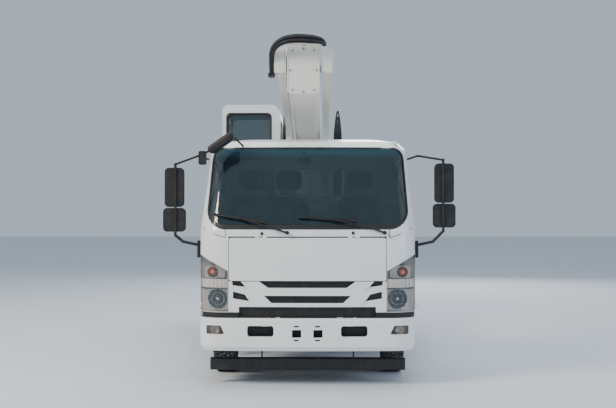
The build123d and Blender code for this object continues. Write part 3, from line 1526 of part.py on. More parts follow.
def slide_pads(distance, length, outer_width, outer_height, inner_width, inner_height):
    """Four wear pads that fill the space between two sections, over a short length."""
    plane = boom_plane(distance)
    side = (outer_width - inner_width) / 2 - running_gap
    with BuildSketch(plane) as pads:
        for s in sides:
            with Locations((s * (inner_width + side) / 2 + s * running_gap, 40)):
                Rectangle(side, 120)
        thick = (outer_height - inner_height) / 2 - running_gap
        for s in sides:
            with Locations((0, s * ((inner_height + thick) / 2 + running_gap))):
                Rectangle(120, thick)
    extrude(pads.sketch, amount=-length)


(_, outer_start, outer_end, outer_w, outer_h, outer_t) = boom_lengths[0]
(_, middle_start, middle_end, middle_w, middle_h, middle_t) = boom_lengths[1]
(_, inner_start, inner_end, inner_w, inner_h, inner_t) = boom_lengths[2]

# Outer section: the root with its bolted cover, the pivot and the cylinder's lug
cover_thickness = 12
with BuildPart() as boom_outer:
    boom_tube(outer_start, outer_end, outer_w, outer_h, outer_t)
    with BuildSketch(boom_plane(-cover_thickness)) as cover:
        boom_section(outer_w + 10, outer_h + 10, boom_corner + 18)
        fillet(cover.vertices(), 14)
    extrude(amount=-cover_thickness)
    with BuildSketch(boom_plane(-cover_thickness)) as cover_bolts:
        bolt_x, bolt_y = outer_w / 2 - 26, outer_h / 2 - 26
        with Locations((-bolt_x, bolt_y), (0, bolt_y), (bolt_x, bolt_y), (-bolt_x, 10),
                       (bolt_x, 10), (-bolt_x + 26, -bolt_y), (0, -bolt_y), (bolt_x - 26, -bolt_y)):
            RegularPolygon(11, 6)
    extrude(amount=7)
    y, z = boom_pivot
    with BuildSketch(Plane.YZ.offset(boom_x)) as boss:
        with Locations((y, z)):
            Circle(boom_pin_radius + 22)
    extrude(amount=outer_w / 2, both=True)
    cross_hole(boom_x, y, z, boom_pin_radius + running_gap, outer_w)
    lug_y, lug_z = boom_point(luff_lug[0], outer_h / 2 + luff_lug[1])
    base_a = boom_point(luff_lug[0] - 130, outer_h / 2 - 3)
    base_b = boom_point(luff_lug[0] + 130, outer_h / 2 - 3)
    lug_shape = [base_a, (lug_y - 30, lug_z + 22), (lug_y + 30, lug_z + 26), base_b]
    plate(boom_x, lug_shape, luff_eye_half + 1, luff_eye_half + 17)
    cross_pin(boom_x, lug_y, lug_z, 22, luff_eye_half + 1, luff_eye_half + 28)
    with BuildSketch(boom_plane(outer_end - 90)) as collar:
        boom_section(outer_w + 12, outer_h + 12, boom_corner + 3)
        boom_section(outer_w - 2, outer_h - 2, boom_corner, Mode.SUBTRACT)
    extrude(amount=-90)
    slide_pads(outer_end - 100, 90, outer_w - 2 * outer_t, outer_h - 2 * outer_t,
               middle_w, middle_h)
save(boom_outer, "boom_outer")

with BuildPart() as boom_middle:
    boom_tube(middle_start, middle_end, middle_w, middle_h, middle_t)
    slide_pads(middle_end - 90, 80, middle_w - 2 * middle_t, middle_h - 2 * middle_t,
               inner_w, inner_h)
    with BuildSketch(boom_plane(middle_end - 60)) as rim_band:
        boom_section(middle_w + 20, middle_h + 20, boom_corner + 5)
        boom_section(middle_w - 2, middle_h - 2, boom_corner, Mode.SUBTRACT)
    extrude(amount=-60)
save(boom_middle, "boom_middle")

# Inner section with the fork at its tip
tip_y, tip_z = boom_point(tip_pivot)
with BuildPart() as boom_inner:
    boom_tube(inner_start, inner_end, inner_w, inner_h, inner_t)
    with BuildSketch(boom_plane(inner_end)) as tip_wall:
        boom_section(inner_w, inner_h, boom_corner)
    extrude(amount=-12)
    fork = [boom_point(inner_end + 2, 80), boom_point(tip_pivot, 52),
            boom_point(tip_pivot + 48, 25), boom_point(tip_pivot + 48, -25),
            boom_point(tip_pivot, -52), boom_point(inner_end + 2, -80)]
    plate(boom_x, fork, 72, 90)
    cross_pin(boom_x, tip_y, tip_z, 25, 0, 102)
save(boom_inner, "boom_inner")

# Levelling head at the boom's tip, with the post that the basket swings on
post_top = tip_z + 70
post_bottom = basket_floor + 560
with BuildPart() as basket_head:
    arm = [(tip_y - 45, tip_z - 30), (tip_y - 45, tip_z + 30), (tip_y - 20, tip_z + 48),
           (post_y, tip_z + 50), (post_y, tip_z - 200), (tip_y + 90, tip_z - 60),
           (tip_y, tip_z - 48)]
    with BuildSketch(along(boom_x - 69)) as arm_side:
        rounded(arm_side, arm, 0)
    extrude(amount=138)
    cross_hole(boom_x, tip_y, tip_z, 25 + running_gap, 100)
    with BuildSketch(Plane.XY.offset(post_bottom)) as post:
        with Locations((boom_x, post_y)):
            Circle(post_radius)
    extrude(amount=post_top - post_bottom)
    with BuildSketch(Plane.XY.offset(tip_z - 215)) as boss_section:
        with Locations((boom_x, post_y)):
            Circle(post_radius + 34)
    extrude(amount=270)
    with BuildSketch(Plane.XY.offset(post_bottom - 14)) as post_cap:
        with Locations((boom_x, post_y)):
            Circle(post_radius + 14)
    extrude(amount=14)
save(basket_head, "basket_head")

# Basket: tube rails over sheet panels on a floor, carried by two sleeves on the post
basket_front = rear_y - rail_tube - basket_depth
basket_rear = rear_y - rail_tube
basket_half = basket_width / 2
panel_thickness = 3
with BuildPart() as basket:
    basket_middle = (basket_front + basket_rear) / 2
    with Locations((boom_x, basket_middle, basket_floor + 20)):
        Box(basket_width - 2, basket_depth - 2, 40)
    corners = [(boom_x - basket_half, basket_front), (boom_x + basket_half, basket_front),
               (boom_x + basket_half, basket_rear), (boom_x - basket_half, basket_rear)]
    for z in (basket_floor + 21, basket_floor + 560, basket_top - rail_tube):
        for (x0, y0), (x1, y1) in zip(corners, corners[1:] + corners[:1]):
            rod((x0, y0, z), (x1, y1, z), rail_tube)
            with Locations((x0, y0, z)):
                Sphere(rail_tube)
    posts = corners + [(boom_x - 220, basket_front), (boom_x + 220, basket_front),
                       (boom_x - 220, basket_rear), (boom_x + 220, basket_rear)]
    for x, y in posts:
        rod((x, y, basket_floor + 21), (x, y, basket_top - rail_tube), rail_tube - 1)
    panel_height = 500
    panel_z = basket_floor + 45 + panel_height / 2
    for y in (basket_front + 6, basket_rear - 6):
        with Locations((boom_x, y, panel_z)):
            Box(basket_width - 8, panel_thickness, panel_height)
    for s in sides:
        with Locations((boom_x + s * (basket_half - 6), basket_middle, panel_z)):
            Box(panel_thickness, basket_depth - 8, panel_height)
    sleeve_top = tip_z - 215 - seat_gap
    for bottom, top in ((post_bottom + seat_gap, post_bottom + 120),
                        (sleeve_top - 110, sleeve_top)):
        with BuildSketch(Plane.XY.offset(bottom)) as sleeve:
            with Locations((boom_x, post_y)):
                Circle(post_radius + 20)
            with Locations((boom_x, (post_y + basket_front) / 2)):
                Rectangle(90, basket_front - post_y)
            with Locations((boom_x, post_y)):
                Circle(post_radius + running_gap, mode=Mode.SUBTRACT)
        extrude(amount=top - bottom)
    with Locations((boom_x, basket_front - 12, (post_bottom + sleeve_top) / 2)):
        Box(150, 30, sleeve_top - post_bottom - 2 * seat_gap)
    with Locations((boom_x - 330, basket_rear - 100, basket_top - 90)):
        Box(260, 160, 170)
    with Locations((boom_x - 330, basket_rear - 20, basket_top - 30)):
        Box(120, 70, 24)
save(basket, "basket")


# Cylinders: the riser's pushes its arms up, the boom's pulls its back towards the knuckle
boom_lug = boom_point(luff_lug[0], outer_h / 2 + luff_lug[1])
cylinders = (  # name, foot, head, barrel radius, rod radius, barrel length, pin, half width
    ("riser", riser_cylinder_foot, riser_cylinder_head, riser_barrel_radius,
     riser_rod_radius, 1090, 28, riser_eye_half),
    ("luff", horn, boom_lug, luff_barrel_radius, luff_rod_radius, 790, 18, luff_eye_half),
)
for name, foot, head, barrel_radius, bar_radius, barrel_end, pin_radius, half in cylinders:
    base = Vector(boom_x, *foot)
    tip = Vector(boom_x, *head)
    run = (tip - base).normalized()
    eye_radius = pin_radius + 14
    with BuildPart() as barrel:
        with BuildSketch(Plane.YZ.offset(boom_x)) as foot_eye:
            with Locations(foot):
                Circle(eye_radius)
        extrude(amount=half, both=True)
        rod(base + run * (eye_radius - 6), base + run * (eye_radius + 34), barrel_radius * 0.6)
        rod(base + run * (eye_radius + 32), base + run * barrel_end, barrel_radius)
        rod(base + run * (barrel_end - 26), base + run * barrel_end, barrel_radius + 6)
        bore_start = base + run * (eye_radius + 46)
        with BuildSketch(Plane(origin=bore_start, z_dir=run)) as bore:
            Circle(bar_radius + running_gap)
        extrude(amount=barrel_end, mode=Mode.SUBTRACT)
        cross_hole(boom_x, *foot, pin_radius + running_gap, 60)
    save(barrel, f"{name}_barrel")
    with BuildPart() as bar:
        with BuildSketch(Plane.YZ.offset(boom_x)) as head_eye:
            with Locations(head):
                Circle(eye_radius)
        extrude(amount=half, both=True)
        rod(tip - run * ((tip - base).length - barrel_end + 150), tip - run * 10, bar_radius)
    save(bar, f"{name}_rod")

# Hoses over the knuckle, from the right ear's top to a clamp on the left ear's outer side
hose_points = [
    (boom_x + 226, ear_front + 24, ear_top + seat_gap), (boom_x + 226, ear_front + 24, ear_top + 62),
    (boom_x + 150, ear_front - 46, ear_top + 118), (boom_x - 5, ear_front - 58, ear_top + 136),
    (boom_x - 165, ear_front - 50, ear_top + 116), (boom_x - 290, ear_front - 14, ear_top + 58),
    (boom_x - 338, ear_front + 36, ear_top - 45), (boom_x - 320, ear_front + 80, ear_top - 150),
    (boom_x - 320, ear_front + 80, hose_end_z),
]


def bend_radii(points):
    """The largest radius that each corner's two runs allow."""
    radii = []
    for before, at, after in zip(points, points[1:], points[2:]):
        a = Vector(*at) - Vector(*before)
        b = Vector(*after) - Vector(*at)
        turn = radians(a.get_angle(b))
        radii.append(0.45 * min(a.length, b.length) / tan(turn / 2))
    return radii


with BuildPart() as knuckle_hoses:
    with BuildLine() as route:
        FilletPolyline(*hose_points, radius=bend_radii(hose_points))
    with BuildSketch(Plane(origin=route.line @ 0, z_dir=route.line % 0)):
        Circle(hose_radius)
    sweep(path=route.line)
save(knuckle_hoses, "knuckle_hoses")
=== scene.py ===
"""Cherry picker truck: finishes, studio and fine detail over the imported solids.

Every size is in millimetres in the truck's own frame: +X is the truck's left, the front faces -Y
and +Z is up, with the origin on the ground in the middle of the truck.
"""

import logging
import math
from dataclasses import dataclass, field
from enum import Enum

import bmesh
import bpy
from mathutils import Matrix, Vector


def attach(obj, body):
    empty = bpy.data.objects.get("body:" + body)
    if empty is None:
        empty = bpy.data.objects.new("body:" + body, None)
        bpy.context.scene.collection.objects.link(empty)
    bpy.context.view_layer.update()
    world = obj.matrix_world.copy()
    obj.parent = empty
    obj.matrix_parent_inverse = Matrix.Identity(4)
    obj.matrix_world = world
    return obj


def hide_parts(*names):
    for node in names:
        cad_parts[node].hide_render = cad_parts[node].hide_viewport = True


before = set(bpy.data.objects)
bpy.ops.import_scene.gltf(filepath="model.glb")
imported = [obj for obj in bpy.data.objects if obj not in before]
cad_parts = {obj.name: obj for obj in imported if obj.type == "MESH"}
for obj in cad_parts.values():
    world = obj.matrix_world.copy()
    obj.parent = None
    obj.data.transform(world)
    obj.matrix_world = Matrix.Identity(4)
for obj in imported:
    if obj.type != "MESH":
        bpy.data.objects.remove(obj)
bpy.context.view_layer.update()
log = logging.getLogger("truck")

Point = tuple[float, float, float]
Flat = tuple[float, float]
Tree = bpy.types.NodeTree
Socket = bpy.types.NodeSocket

MM = 0.001
SIDES = (-1, 1)
HANDS = ((1, "left"), (-1, "right"))
FRONT = -3800.0
FRONT_AXLE = -2690.0
REAR_AXLE = 1125.0
TYRE_RADIUS = 383.0
BOOM_ROOT = (-45.0, -3200.0, 3042.0)
BOOM_SLOPE = math.radians(6)


# Finishes


def linear(colour: str) -> tuple[float, float, float, float]:
    """Turns an sRGB hex colour into opaque linear light.

    Args:
        colour: Six hex digits with a leading hash.

    Returns:
        Red, green, blue and full opacity.
    """
    parts = [int(colour[i:i + 2], 16) / 255 for i in (1, 3, 5)]
    light = [p / 12.92 if p <= 0.04045 else ((p + 0.055) / 1.055) ** 2.4 for p in parts]
    return (*light, 1.0)


def fill(tree: Tree, node: bpy.types.Node, inputs: dict) -> None:
    """Sets the inputs of a node.

    Args:
        tree: The node's tree.
        node: The node.
        inputs: Input name or number to a value, or to the socket that feeds it.
    """
    for key, value in inputs.items():
        if isinstance(value, Socket):
            tree.links.new(value, node.inputs[key])
        else:
            node.inputs[key].default_value = value


def add_node(tree: Tree, kind: str, inputs: dict | None = None,
             **settings: object) -> bpy.types.Node:
    """Adds a node, sets its properties, and fills or links its inputs.

    Args:
        tree: The node tree that gets it.
        kind: Blender's name for the node type.
        inputs: Input name or number to a value, or to the socket that feeds it.
        **settings: Properties of the node.

    Returns:
        The new node.
    """
    node = tree.nodes.new(kind)
    for name, value in settings.items():
        setattr(node, name, value)
    fill(tree, node, inputs or {})
    return node


@dataclass
class Surface:
    """A material in the making, with the steps that several finishes share."""

    tree: Tree
    shader: bpy.types.Node
    coords: Socket

    def feed(self, inputs: dict) -> None:
        """Sets or links inputs of the shader."""
        fill(self.tree, self.shader, inputs)

    def spots(self, size_mm: float, low: float, high: float, most: float = 1.0,
              detail: float = 5.0, sharpness: float = 0.55, coords: Socket | None = None) -> Socket:
        """Blotches of about one size, such as dust, stains or frost.

        Args:
            size_mm: Their size.
            low: Noise up to this leaves the surface bare.
            high: Noise from this on covers it.
            most: The share where it is covered.
            detail: Finer layers of the noise.
            sharpness: How strong each finer layer is.
            coords: Where the noise is looked up, if not where the surface is.

        Returns:
            The share of the surface that they cover.
        """
        cloud = add_node(self.tree, "ShaderNodeTexNoise", {
            "Vector": coords or self.coords, "Scale": 1000 / size_mm, "Detail": detail,
            "Roughness": sharpness}).outputs["Fac"]
        return add_node(self.tree, "ShaderNodeMapRange", {
            "Value": cloud, "From Min": low, "From Max": high, "To Max": most}).outputs["Result"]

    def by_height(self, low: float, high: float, at_low: float, at_high: float) -> Socket:
        """A share that changes with the height over the ground.

        Args:
            low: The height where the change starts.
            high: The height where it ends.
            at_low: The share up to the low height.
            at_high: The share from the high one on.

        Returns:
            The share.
        """
        height = add_node(self.tree, "ShaderNodeSeparateXYZ", {0: self.coords}).outputs["Z"]
        return add_node(self.tree, "ShaderNodeMapRange", {
            "Value": height, "From Min": low * MM, "From Max": high * MM, "To Min": at_low,
            "To Max": at_high}).outputs["Result"]

    def overlap(self, *shares: Socket) -> Socket:
        """Where several things lie on the surface at once.

        Args:
            *shares: The share of each.

        Returns:
            The share where all of them meet.
        """
        meet, *others = shares
        for share in others:
            meet = add_node(self.tree, "ShaderNodeMath", {0: meet, 1: share},
                            operation="MULTIPLY").outputs[0]
        return meet

    def ripples(self, way: Point) -> Socket:
        """A wave from -1 to 1 along a direction, which is as long as the wave's turn in a metre."""
        turn = add_node(self.tree, "ShaderNodeVectorMath", {0: self.coords, 1: way},
                        operation="DOT_PRODUCT").outputs["Value"]
        return add_node(self.tree, "ShaderNodeMath", {0: turn}, operation="SINE").outputs[0]

    def layers(self, base: str, *over: tuple[Socket, str]) -> None:
        """Colours the surface.

        Args:
            base: The colour underneath.
            *over: What lies over it in turn: its share of the surface and its colour.
        """
        seen = linear(base)
        for share, colour in over:
            seen = add_node(self.tree, "ShaderNodeMix", {0: share, 6: seen, 7: linear(colour)},
                            data_type="RGBA").outputs[2]
        self.feed({"Base Color": seen})

    def dull(self, share: Socket, full: float, clean: float, covered: float) -> None:
        """Makes the surface rougher or smoother by a share.

        Args:
            share: The share.
            full: The share that counts as covered.
            clean: Roughness where the share is 0.
            covered: Roughness from the full share on.
        """
        self.feed({"Roughness": add_node(self.tree, "ShaderNodeMapRange", {
            "Value": share, "From Max": full, "To Min": clean,
            "To Max": covered}).outputs["Result"]})

    def relief(self, height: Socket, depth_mm: float, strength: float = 1.0) -> None:
        """Raises the surface by up to the given depth."""
        self.feed({"Normal": add_node(self.tree, "ShaderNodeBump", {
            "Height": height, "Distance": depth_mm * MM, "Strength": strength}).outputs["Normal"]})

    def grain(self, size_mm: float, depth_mm: float, strength: float, detail: float = 2.0,
              stretch: Point = (1.0, 1.0, 1.0)) -> None:
        """Roughens the surface with grains of about one size.

        Args:
            size_mm: Their size.
            depth_mm: How deep they lie.
            strength: How much of that shows.
            detail: Finer layers of the noise.
            stretch: How many times finer they are along each axis.
        """
        lay = add_node(self.tree, "ShaderNodeMapping", {0: self.coords, "Scale": stretch})
        self.relief(add_node(self.tree, "ShaderNodeTexNoise", {
            "Vector": lay.outputs[0], "Scale": 1000 / size_mm, "Detail": detail,
            "Roughness": 0.55}).outputs["Fac"], depth_mm, strength)


@dataclass(frozen=True)
class Finish:
    """A surface: its name, its main colour and how rough it is."""

    name: str
    colour: str
    roughness: float

    def material(self) -> bpy.types.Material:
        """Makes the material, once only.

        Returns:
            The material.
        """
        made = bpy.data.materials.get(self.name)
        if made:
            return made
        made = bpy.data.materials.new(self.name)
        made.use_nodes = True
        tree = made.node_tree
        coords = add_node(tree, "ShaderNodeTexCoord").outputs["Object"]
        look = Surface(tree, tree.nodes["Principled BSDF"], coords)
        look.feed({"Base Color": linear(self.colour), "Roughness": self.roughness})
        self.dress(look)
        return made

    def dress(self, look: Surface) -> None:
        """Adds what is special to the finish."""


@dataclass(frozen=True)
class Paint(Finish):
    """Sprayed two-pack enamel: an even colour under clear gloss, with road film low down.

    The film gathers towards the ground in blotches a hand wide; the orange peel is 4 mm.
    """

    coat: float = 0.35
    film: str = "#9C968B"
    film_top: float = 900.0
    film_share: float = 0.35

    def dress(self, look: Surface) -> None:
        """Adds streaked road film, a faint tint and orange peel."""
        upright = add_node(look.tree, "ShaderNodeMapping", {
            0: look.coords, "Scale": (1.0, 1.0, 0.12)}).outputs[0]
        film = look.overlap(look.spots(140, 0.35, 0.7),
                            look.by_height(250, self.film_top, self.film_share, 0.03),
                            look.spots(35, 0.42, 0.75, detail=3, coords=upright))
        tint = look.spots(600, 0.3, 0.7, 0.06, detail=2)
        look.layers(self.colour, (tint, self.film), (film, self.film))
        look.dull(film, 0.4, self.roughness, self.roughness + 0.3)
        look.grain(4, 0.05, 0.25, detail=1)
        look.feed({"Coat Weight": self.coat, "Coat Roughness": 0.08})


@dataclass(frozen=True)
class Plastic(Finish):
    """Moulded ABS or polypropylene with a fine spark-eroded grain.

    The grain is drawn twice as coarse as the mould's, so that it shows.
    """

    grain_mm: float = 1.6
    depth_mm: float = 0.12
    dust: str = "#6F6E6A"
    dust_share: float = 0.12

    def dress(self, look: Surface) -> None:
        """Adds dust and the grain's cells."""
        dusty = look.spots(60, 0.45, 0.8, self.dust_share)
        look.layers(self.colour, (dusty, self.dust))
        look.dull(dusty, 0.2, self.roughness, self.roughness + 0.12)
        cells = add_node(look.tree, "ShaderNodeTexVoronoi", {
            "Vector": look.coords, "Scale": 1000 / self.grain_mm}).outputs["Distance"]
        look.relief(cells, self.depth_mm, 0.4)


@dataclass(frozen=True)
class Rubber(Finish):
    """Vulcanised rubber: dull black, greyed by dust in 20 mm blotches.

    On tyres, packed frost sits in 12 mm patches near the ground.
    """

    frost: str = "#D7DCE0"
    frost_share: float = 0.0
    frost_top: float = 500.0

    def dress(self, look: Surface) -> None:
        """Adds dust, frost and a fine grain."""
        dusty = look.spots(20, 0.4, 0.75, 0.25, detail=4)
        frosted = look.overlap(look.spots(12, 0.52, 0.62, detail=4, sharpness=0.7),
                               look.by_height(0, self.frost_top, self.frost_share, 0.0))
        look.layers(self.colour, (dusty, "#4A4846"), (frosted, self.frost))
        look.grain(2.5, 0.2, 0.5)
        look.feed({"Sheen Weight": 0.08})


@dataclass(frozen=True)
class Metal(Finish):
    """Bare metal, brushed, turned, cast or plated, dulled by stains in finger-wide spots; on the
    lamp reflectors these spots are painted dark reflections instead.
    """

    grain_mm: float = 3.0
    depth_mm: float = 0.05
    stretch: Point = (1.0, 1.0, 1.0)
    metallic: float = 1.0
    stain_and_dark_reflection: str = "#6C6459"
    stain_and_dark_reflection_share: float = 0.2

    def dress(self, look: Surface) -> None:
        """Adds the stains, which are painted dark reflections on the lamp reflectors, and the
        tool's marks, which are stretched one way.
        """
        # Blotches of stain, which on the lamp reflectors are painted dark reflections.
        stained_and_reflected = look.spots(45, 0.5, 0.75, self.stain_and_dark_reflection_share)
        look.layers(self.colour, (stained_and_reflected, self.stain_and_dark_reflection))
        look.dull(stained_and_reflected, 0.3, self.roughness, self.roughness + 0.25)
        look.grain(self.grain_mm, self.depth_mm, 0.6, stretch=self.stretch)
        look.feed({"Metallic": self.metallic})


@dataclass(frozen=True)
class TreadPlate(Finish):
    """Rolled aluminium plate with lozenges 24 mm long that cross at right angles."""

    pitch_mm: float = 30.0

    def dress(self, look: Surface) -> None:
        """Adds rows of lozenges, turned by turns, and the grit between them."""
        step = math.pi * 1000 / self.pitch_mm
        waves = [add_node(look.tree, "ShaderNodeMath", {0: look.ripples(way)},
                          operation="ABSOLUTE").outputs[0]
                 for way in ((step, step, 0.0), (step, -step, 0.0))]
        ridge = add_node(look.tree, "ShaderNodeMath", dict(enumerate(waves)), operation="SUBTRACT")
        ridge = add_node(look.tree, "ShaderNodeMath", {0: ridge.outputs[0]}, operation="ABSOLUTE")
        bars = add_node(look.tree, "ShaderNodeMapRange", {
            "Value": ridge.outputs[0], "From Min": 0.62, "From Max": 0.8}).outputs["Result"]
        look.layers(self.colour, (look.spots(90, 0.4, 0.7, 0.4), "#7E7B74"))
        look.dull(bars, 1.0, self.roughness + 0.15, self.roughness)
        look.relief(bars, 1.6)
        look.feed({"Metallic": 0.9})


@dataclass(frozen=True)
class Glass(Finish):
    """Laminated safety glass: a see-through tint, darker in the shade band along its top."""

    alpha: float = 0.4
    band: str = "#0E4250"
    band_from: float = 5000.0
    band_to: float = 6000.0

    def dress(self, look: Surface) -> None:
        """Adds the shade band by height and a faint film of dust."""
        shade = look.by_height(self.band_from, self.band_to, 0.0, 1.0)
        look.layers(self.colour, (shade, self.band), (look.spots(80, 0.4, 0.8, 0.05), "#8C9496"))
        look.feed({"Alpha": self.alpha, "Coat Weight": 1.0, "Coat Roughness": 0.02})


@dataclass(frozen=True)
class Lens(Finish):
    """Clear or dyed polycarbonate, with moulded flutes where it spreads its light."""

    alpha: float = 0.25
    flute_mm: float = 0.0

    def dress(self, look: Surface) -> None:
        """Adds upright flutes, or else a faint moulding ripple."""
        look.feed({"Alpha": self.alpha, "Coat Weight": 1.0})
        if self.flute_mm:
            look.relief(look.ripples((2 * math.pi * 1000 / self.flute_mm, 0.0, 0.0)), 0.8)
        else:
            look.grain(25, 0.1, 0.3, detail=1)


@dataclass(frozen=True)
class Cloth(Finish):
    """Woven seat cloth with crossed yarns, worn paler where people sit.

    Warp and weft are drawn three times as coarse as the real yarn, so that they show.
    """

    yarn_mm: float = 2.4

    def dress(self, look: Surface) -> None:
        """Adds the weave and the worn places."""
        weave = []
        for turn in (0.0, math.pi / 2):
            lay = add_node(look.tree, "ShaderNodeMapping", {
                0: look.coords, "Rotation": (0.0, 0.0, turn)}).outputs[0]
            weave.append(add_node(look.tree, "ShaderNodeTexWave", {
                "Vector": lay, "Scale": 1000 / self.yarn_mm / 6,
                "Distortion": 0.6}).outputs["Fac"])
        look.relief(look.overlap(*weave), 0.5, 0.7)
        look.layers(self.colour, (look.spots(110, 0.4, 0.7, 0.35, detail=4), "#4B4C50"))
        look.feed({"Sheen Weight": 0.35})


@dataclass(frozen=True)
class Glow(Finish):
    """A small lamp's bulb, kept barely brighter than what is round it."""

    strength: float = 0.3

    def dress(self, look: Surface) -> None:
        """Adds an even, faint light of the bulb's own colour."""
        look.feed({"Emission Color": linear(self.colour), "Emission Strength": self.strength})


CAB_PAINT = Paint("cab_white_enamel", "#ECEDEC", 0.3, coat=0.5, film_share=0.3)
BOOM_PAINT = Paint("boom_ivory_enamel", "#E4E1D8", 0.38, coat=0.2, film_top=3300.0,
                   film_share=0.12)
# The operator's cabin is white enamel drawn greyer and bluer than the cab's: the grey-blue is
# painted shade.
CABIN_SHADED_PAINT = Paint("cabin_white_enamel_painted_shade", "#DCE0E2", 0.36, coat=0.25, film_top=3000.0,
                    film_share=0.1)
FRAME_PAINT = Paint("chassis_black_enamel", "#141519", 0.5, coat=0.05, film="#5E5B57",
                    film_top=1200.0, film_share=0.55)
RIM_PAINT = Paint("wheel_silver_enamel", "#A9ACAE", 0.42, coat=0.2, film_top=700.0,
                  film_share=0.5)
BUMPER_PLASTIC = Paint("bumper_white_enamel", "#F0F1F0", 0.34, coat=0.4, film_top=640.0,
                       film_share=0.2)
TYRE_RUBBER = Rubber("tyre_rubber", "#1A1A1B", 0.88, frost_share=0.75, frost_top=550.0)
HOSE_RUBBER = Rubber("hydraulic_hose_rubber", "#131417", 0.6)
SEAL_RUBBER = Rubber("seal_rubber", "#0E0F11", 0.55)
BLACK_PLASTIC = Plastic("black_moulded_plastic", "#131416", 0.55)
CONSOLE_PLASTIC = Plastic("console_black_plastic", "#1A1C1F", 0.5)
WINDSCREEN = Glass("windscreen_glass", "#0E2730", 0.04, alpha=0.6, band="#08414F",
                   band_from=2130.0, band_to=2180.0)
WINDOW = Glass("tempered_window_glass", "#1B3A44", 0.04, alpha=0.42)
LAMP_LENS = Lens("lamp_clear_lens", "#C9D4D8", 0.03, alpha=0.06)
FLUTED_LENS = Lens("lamp_fluted_lens", "#D9CFC6", 0.2, alpha=0.85, flute_mm=41.0)
RED_LENS = Lens("rear_lamp_red_lens", "#8E0F0C", 0.1, alpha=0.9, flute_mm=9.0)
AMBER_LENS = Lens("amber_lens", "#E2700F", 0.1, alpha=0.9, flute_mm=9.0)
WHITE_LENS = Lens("white_lens", "#EDEFF0", 0.12, alpha=0.85, flute_mm=9.0)
AMBER_BULB = Glow("amber_bulb", "#E25A00", 0.35, strength=0.12)
# The lamp reflector's blue-grey colour is a painted reflection of the sky, and its dark blotches
# over half the bowl are painted dark reflections.
REFLECTOR = Metal("faceted_reflector", "#8FA3AB", 0.14, grain_mm=24.0, depth_mm=4.0,
                  stain_and_dark_reflection="#4A5A62", stain_and_dark_reflection_share=0.5)
LAMP_SILVER = Metal("lamp_silver_bezel", "#B8AEA8", 0.3, metallic=0.5, stain_and_dark_reflection_share=0.1)
LAMP_BACK = Plastic("lamp_grey_housing", "#958D89", 0.4, dust="#6E6967")
CHROME = Metal("hard_chrome", "#D8DADC", 0.08, grain_mm=1.5, depth_mm=0.01, stain_and_dark_reflection_share=0.08)
STEEL = Metal("zinc_plated_steel", "#A7A9AA", 0.38, grain_mm=2.0)
CAST_STEEL = Metal("cast_iron_black", "#2A2A2B", 0.62, grain_mm=5.0, depth_mm=0.5,
                   metallic=0.5, stain_and_dark_reflection="#4B4038", stain_and_dark_reflection_share=0.4)
ALUMINIUM = Metal("brushed_aluminium", "#C3C6C8", 0.34, grain_mm=1.2, depth_mm=0.03,
                  stretch=(1.0, 1.0, 12.0))
MIRROR = Metal("silvered_mirror", "#E8EEF0", 0.02, depth_mm=0.0, stain_and_dark_reflection_share=0.0)
DECK_PLATE = TreadPlate("deck_tread_plate", "#B4B7B9", 0.36)
SEAT_CLOTH = Cloth("seat_woven_cloth", "#232428", 0.85)
SEAT_VINYL = Plastic("seat_grained_vinyl", "#1C1D1F", 0.5, grain_mm=2.2, depth_mm=0.3)

NODE_DRESS: dict[Finish, tuple[str, ...]] = {
    CAB_PAINT: ("cab_shell", "left_door", "right_door", "front_lid", "grille"),
    CABIN_SHADED_PAINT: ("operator_cab", "operator_door"),
    BOOM_PAINT: ("riser_arms", "riser_links", "knuckle_block", "boom_outer", "boom_middle",
                 "boom_inner", "basket_head", "turret_frame", "riser_barrel", "luff_barrel"),
    FRAME_PAINT: ("chassis_frame", "front_axle", "rear_axle", "underrun_guards", "subframe",
                  "left_outrigger_beam", "right_outrigger_beam", "fuel_tank", "side_lockers"),
    RIM_PAINT: ("front_left_rim", "front_right_rim", "rear_left_rims", "rear_right_rims"),
    BUMPER_PLASTIC: ("front_bumper",),
    BLACK_PLASTIC: ("mirrors", "wipers", "rear_mudguards", "rear_lamps"),
    CONSOLE_PLASTIC: ("dashboard", "operator_seat"),
    WINDSCREEN: ("cab_glass",),
    WINDOW: ("left_door_glass", "right_door_glass", "operator_cab_glass"),
    CAST_STEEL: ("engine_block", "left_knuckle", "right_knuckle"),
    STEEL: ("exhaust", "front_left_jack_foot", "front_right_jack_foot", "rear_left_jack_foot",
            "rear_right_jack_foot"),
    CHROME: ("riser_rod", "luff_rod"),
    DECK_PLATE: ("deck",),
    ALUMINIUM: ("basket",),
    HOSE_RUBBER: ("knuckle_hoses",),
    TYRE_RUBBER: ("front_left_tyre", "front_right_tyre", "rear_left_tyres", "rear_right_tyres"),
    SEAT_CLOTH: ("cab_seats",),
    LAMP_LENS: ("headlamps",),
}


def dress_nodes() -> None:
    """Gives every solid of the frame its finish."""
    for finish, names in NODE_DRESS.items():
        for name in names:
            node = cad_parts[name]
            node.data.materials.clear()
            node.data.materials.append(finish.material())
            log.info("dressed %s in %s", name, finish.name)


# Lines and places


def face_at(node: str, start: Point, way: Point) -> Point:
    """Where a ray first meets a solid of the frame.

    Args:
        node: The solid's name.
        start: Where the ray starts.
        way: Its direction.

    Returns:
        The point that it meets, or its start if it meets nothing.
    """
    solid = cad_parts[node]
    back = solid.matrix_world.inverted()
    met, at, _, _ = solid.ray_cast(back @ (Vector(start) * MM), back.to_3x3() @ Vector(way))
    return tuple(solid.matrix_world @ at / MM) if met else start


def boom_point(along: float, up: float, across: float = 0.0) -> Point:
    """A point on the stowed boom.

    Args:
        along: Its distance from the root, down the slope.
        up: Its height over the boom's axis.
        across: Its place beside the axis.

    Returns:
        The point in the truck's frame.
    """
    x, y, z = BOOM_ROOT
    c, s = math.cos(BOOM_SLOPE), math.sin(BOOM_SLOPE)
    return (x + across, y + along * c + up * s, z - along * s + up * c)


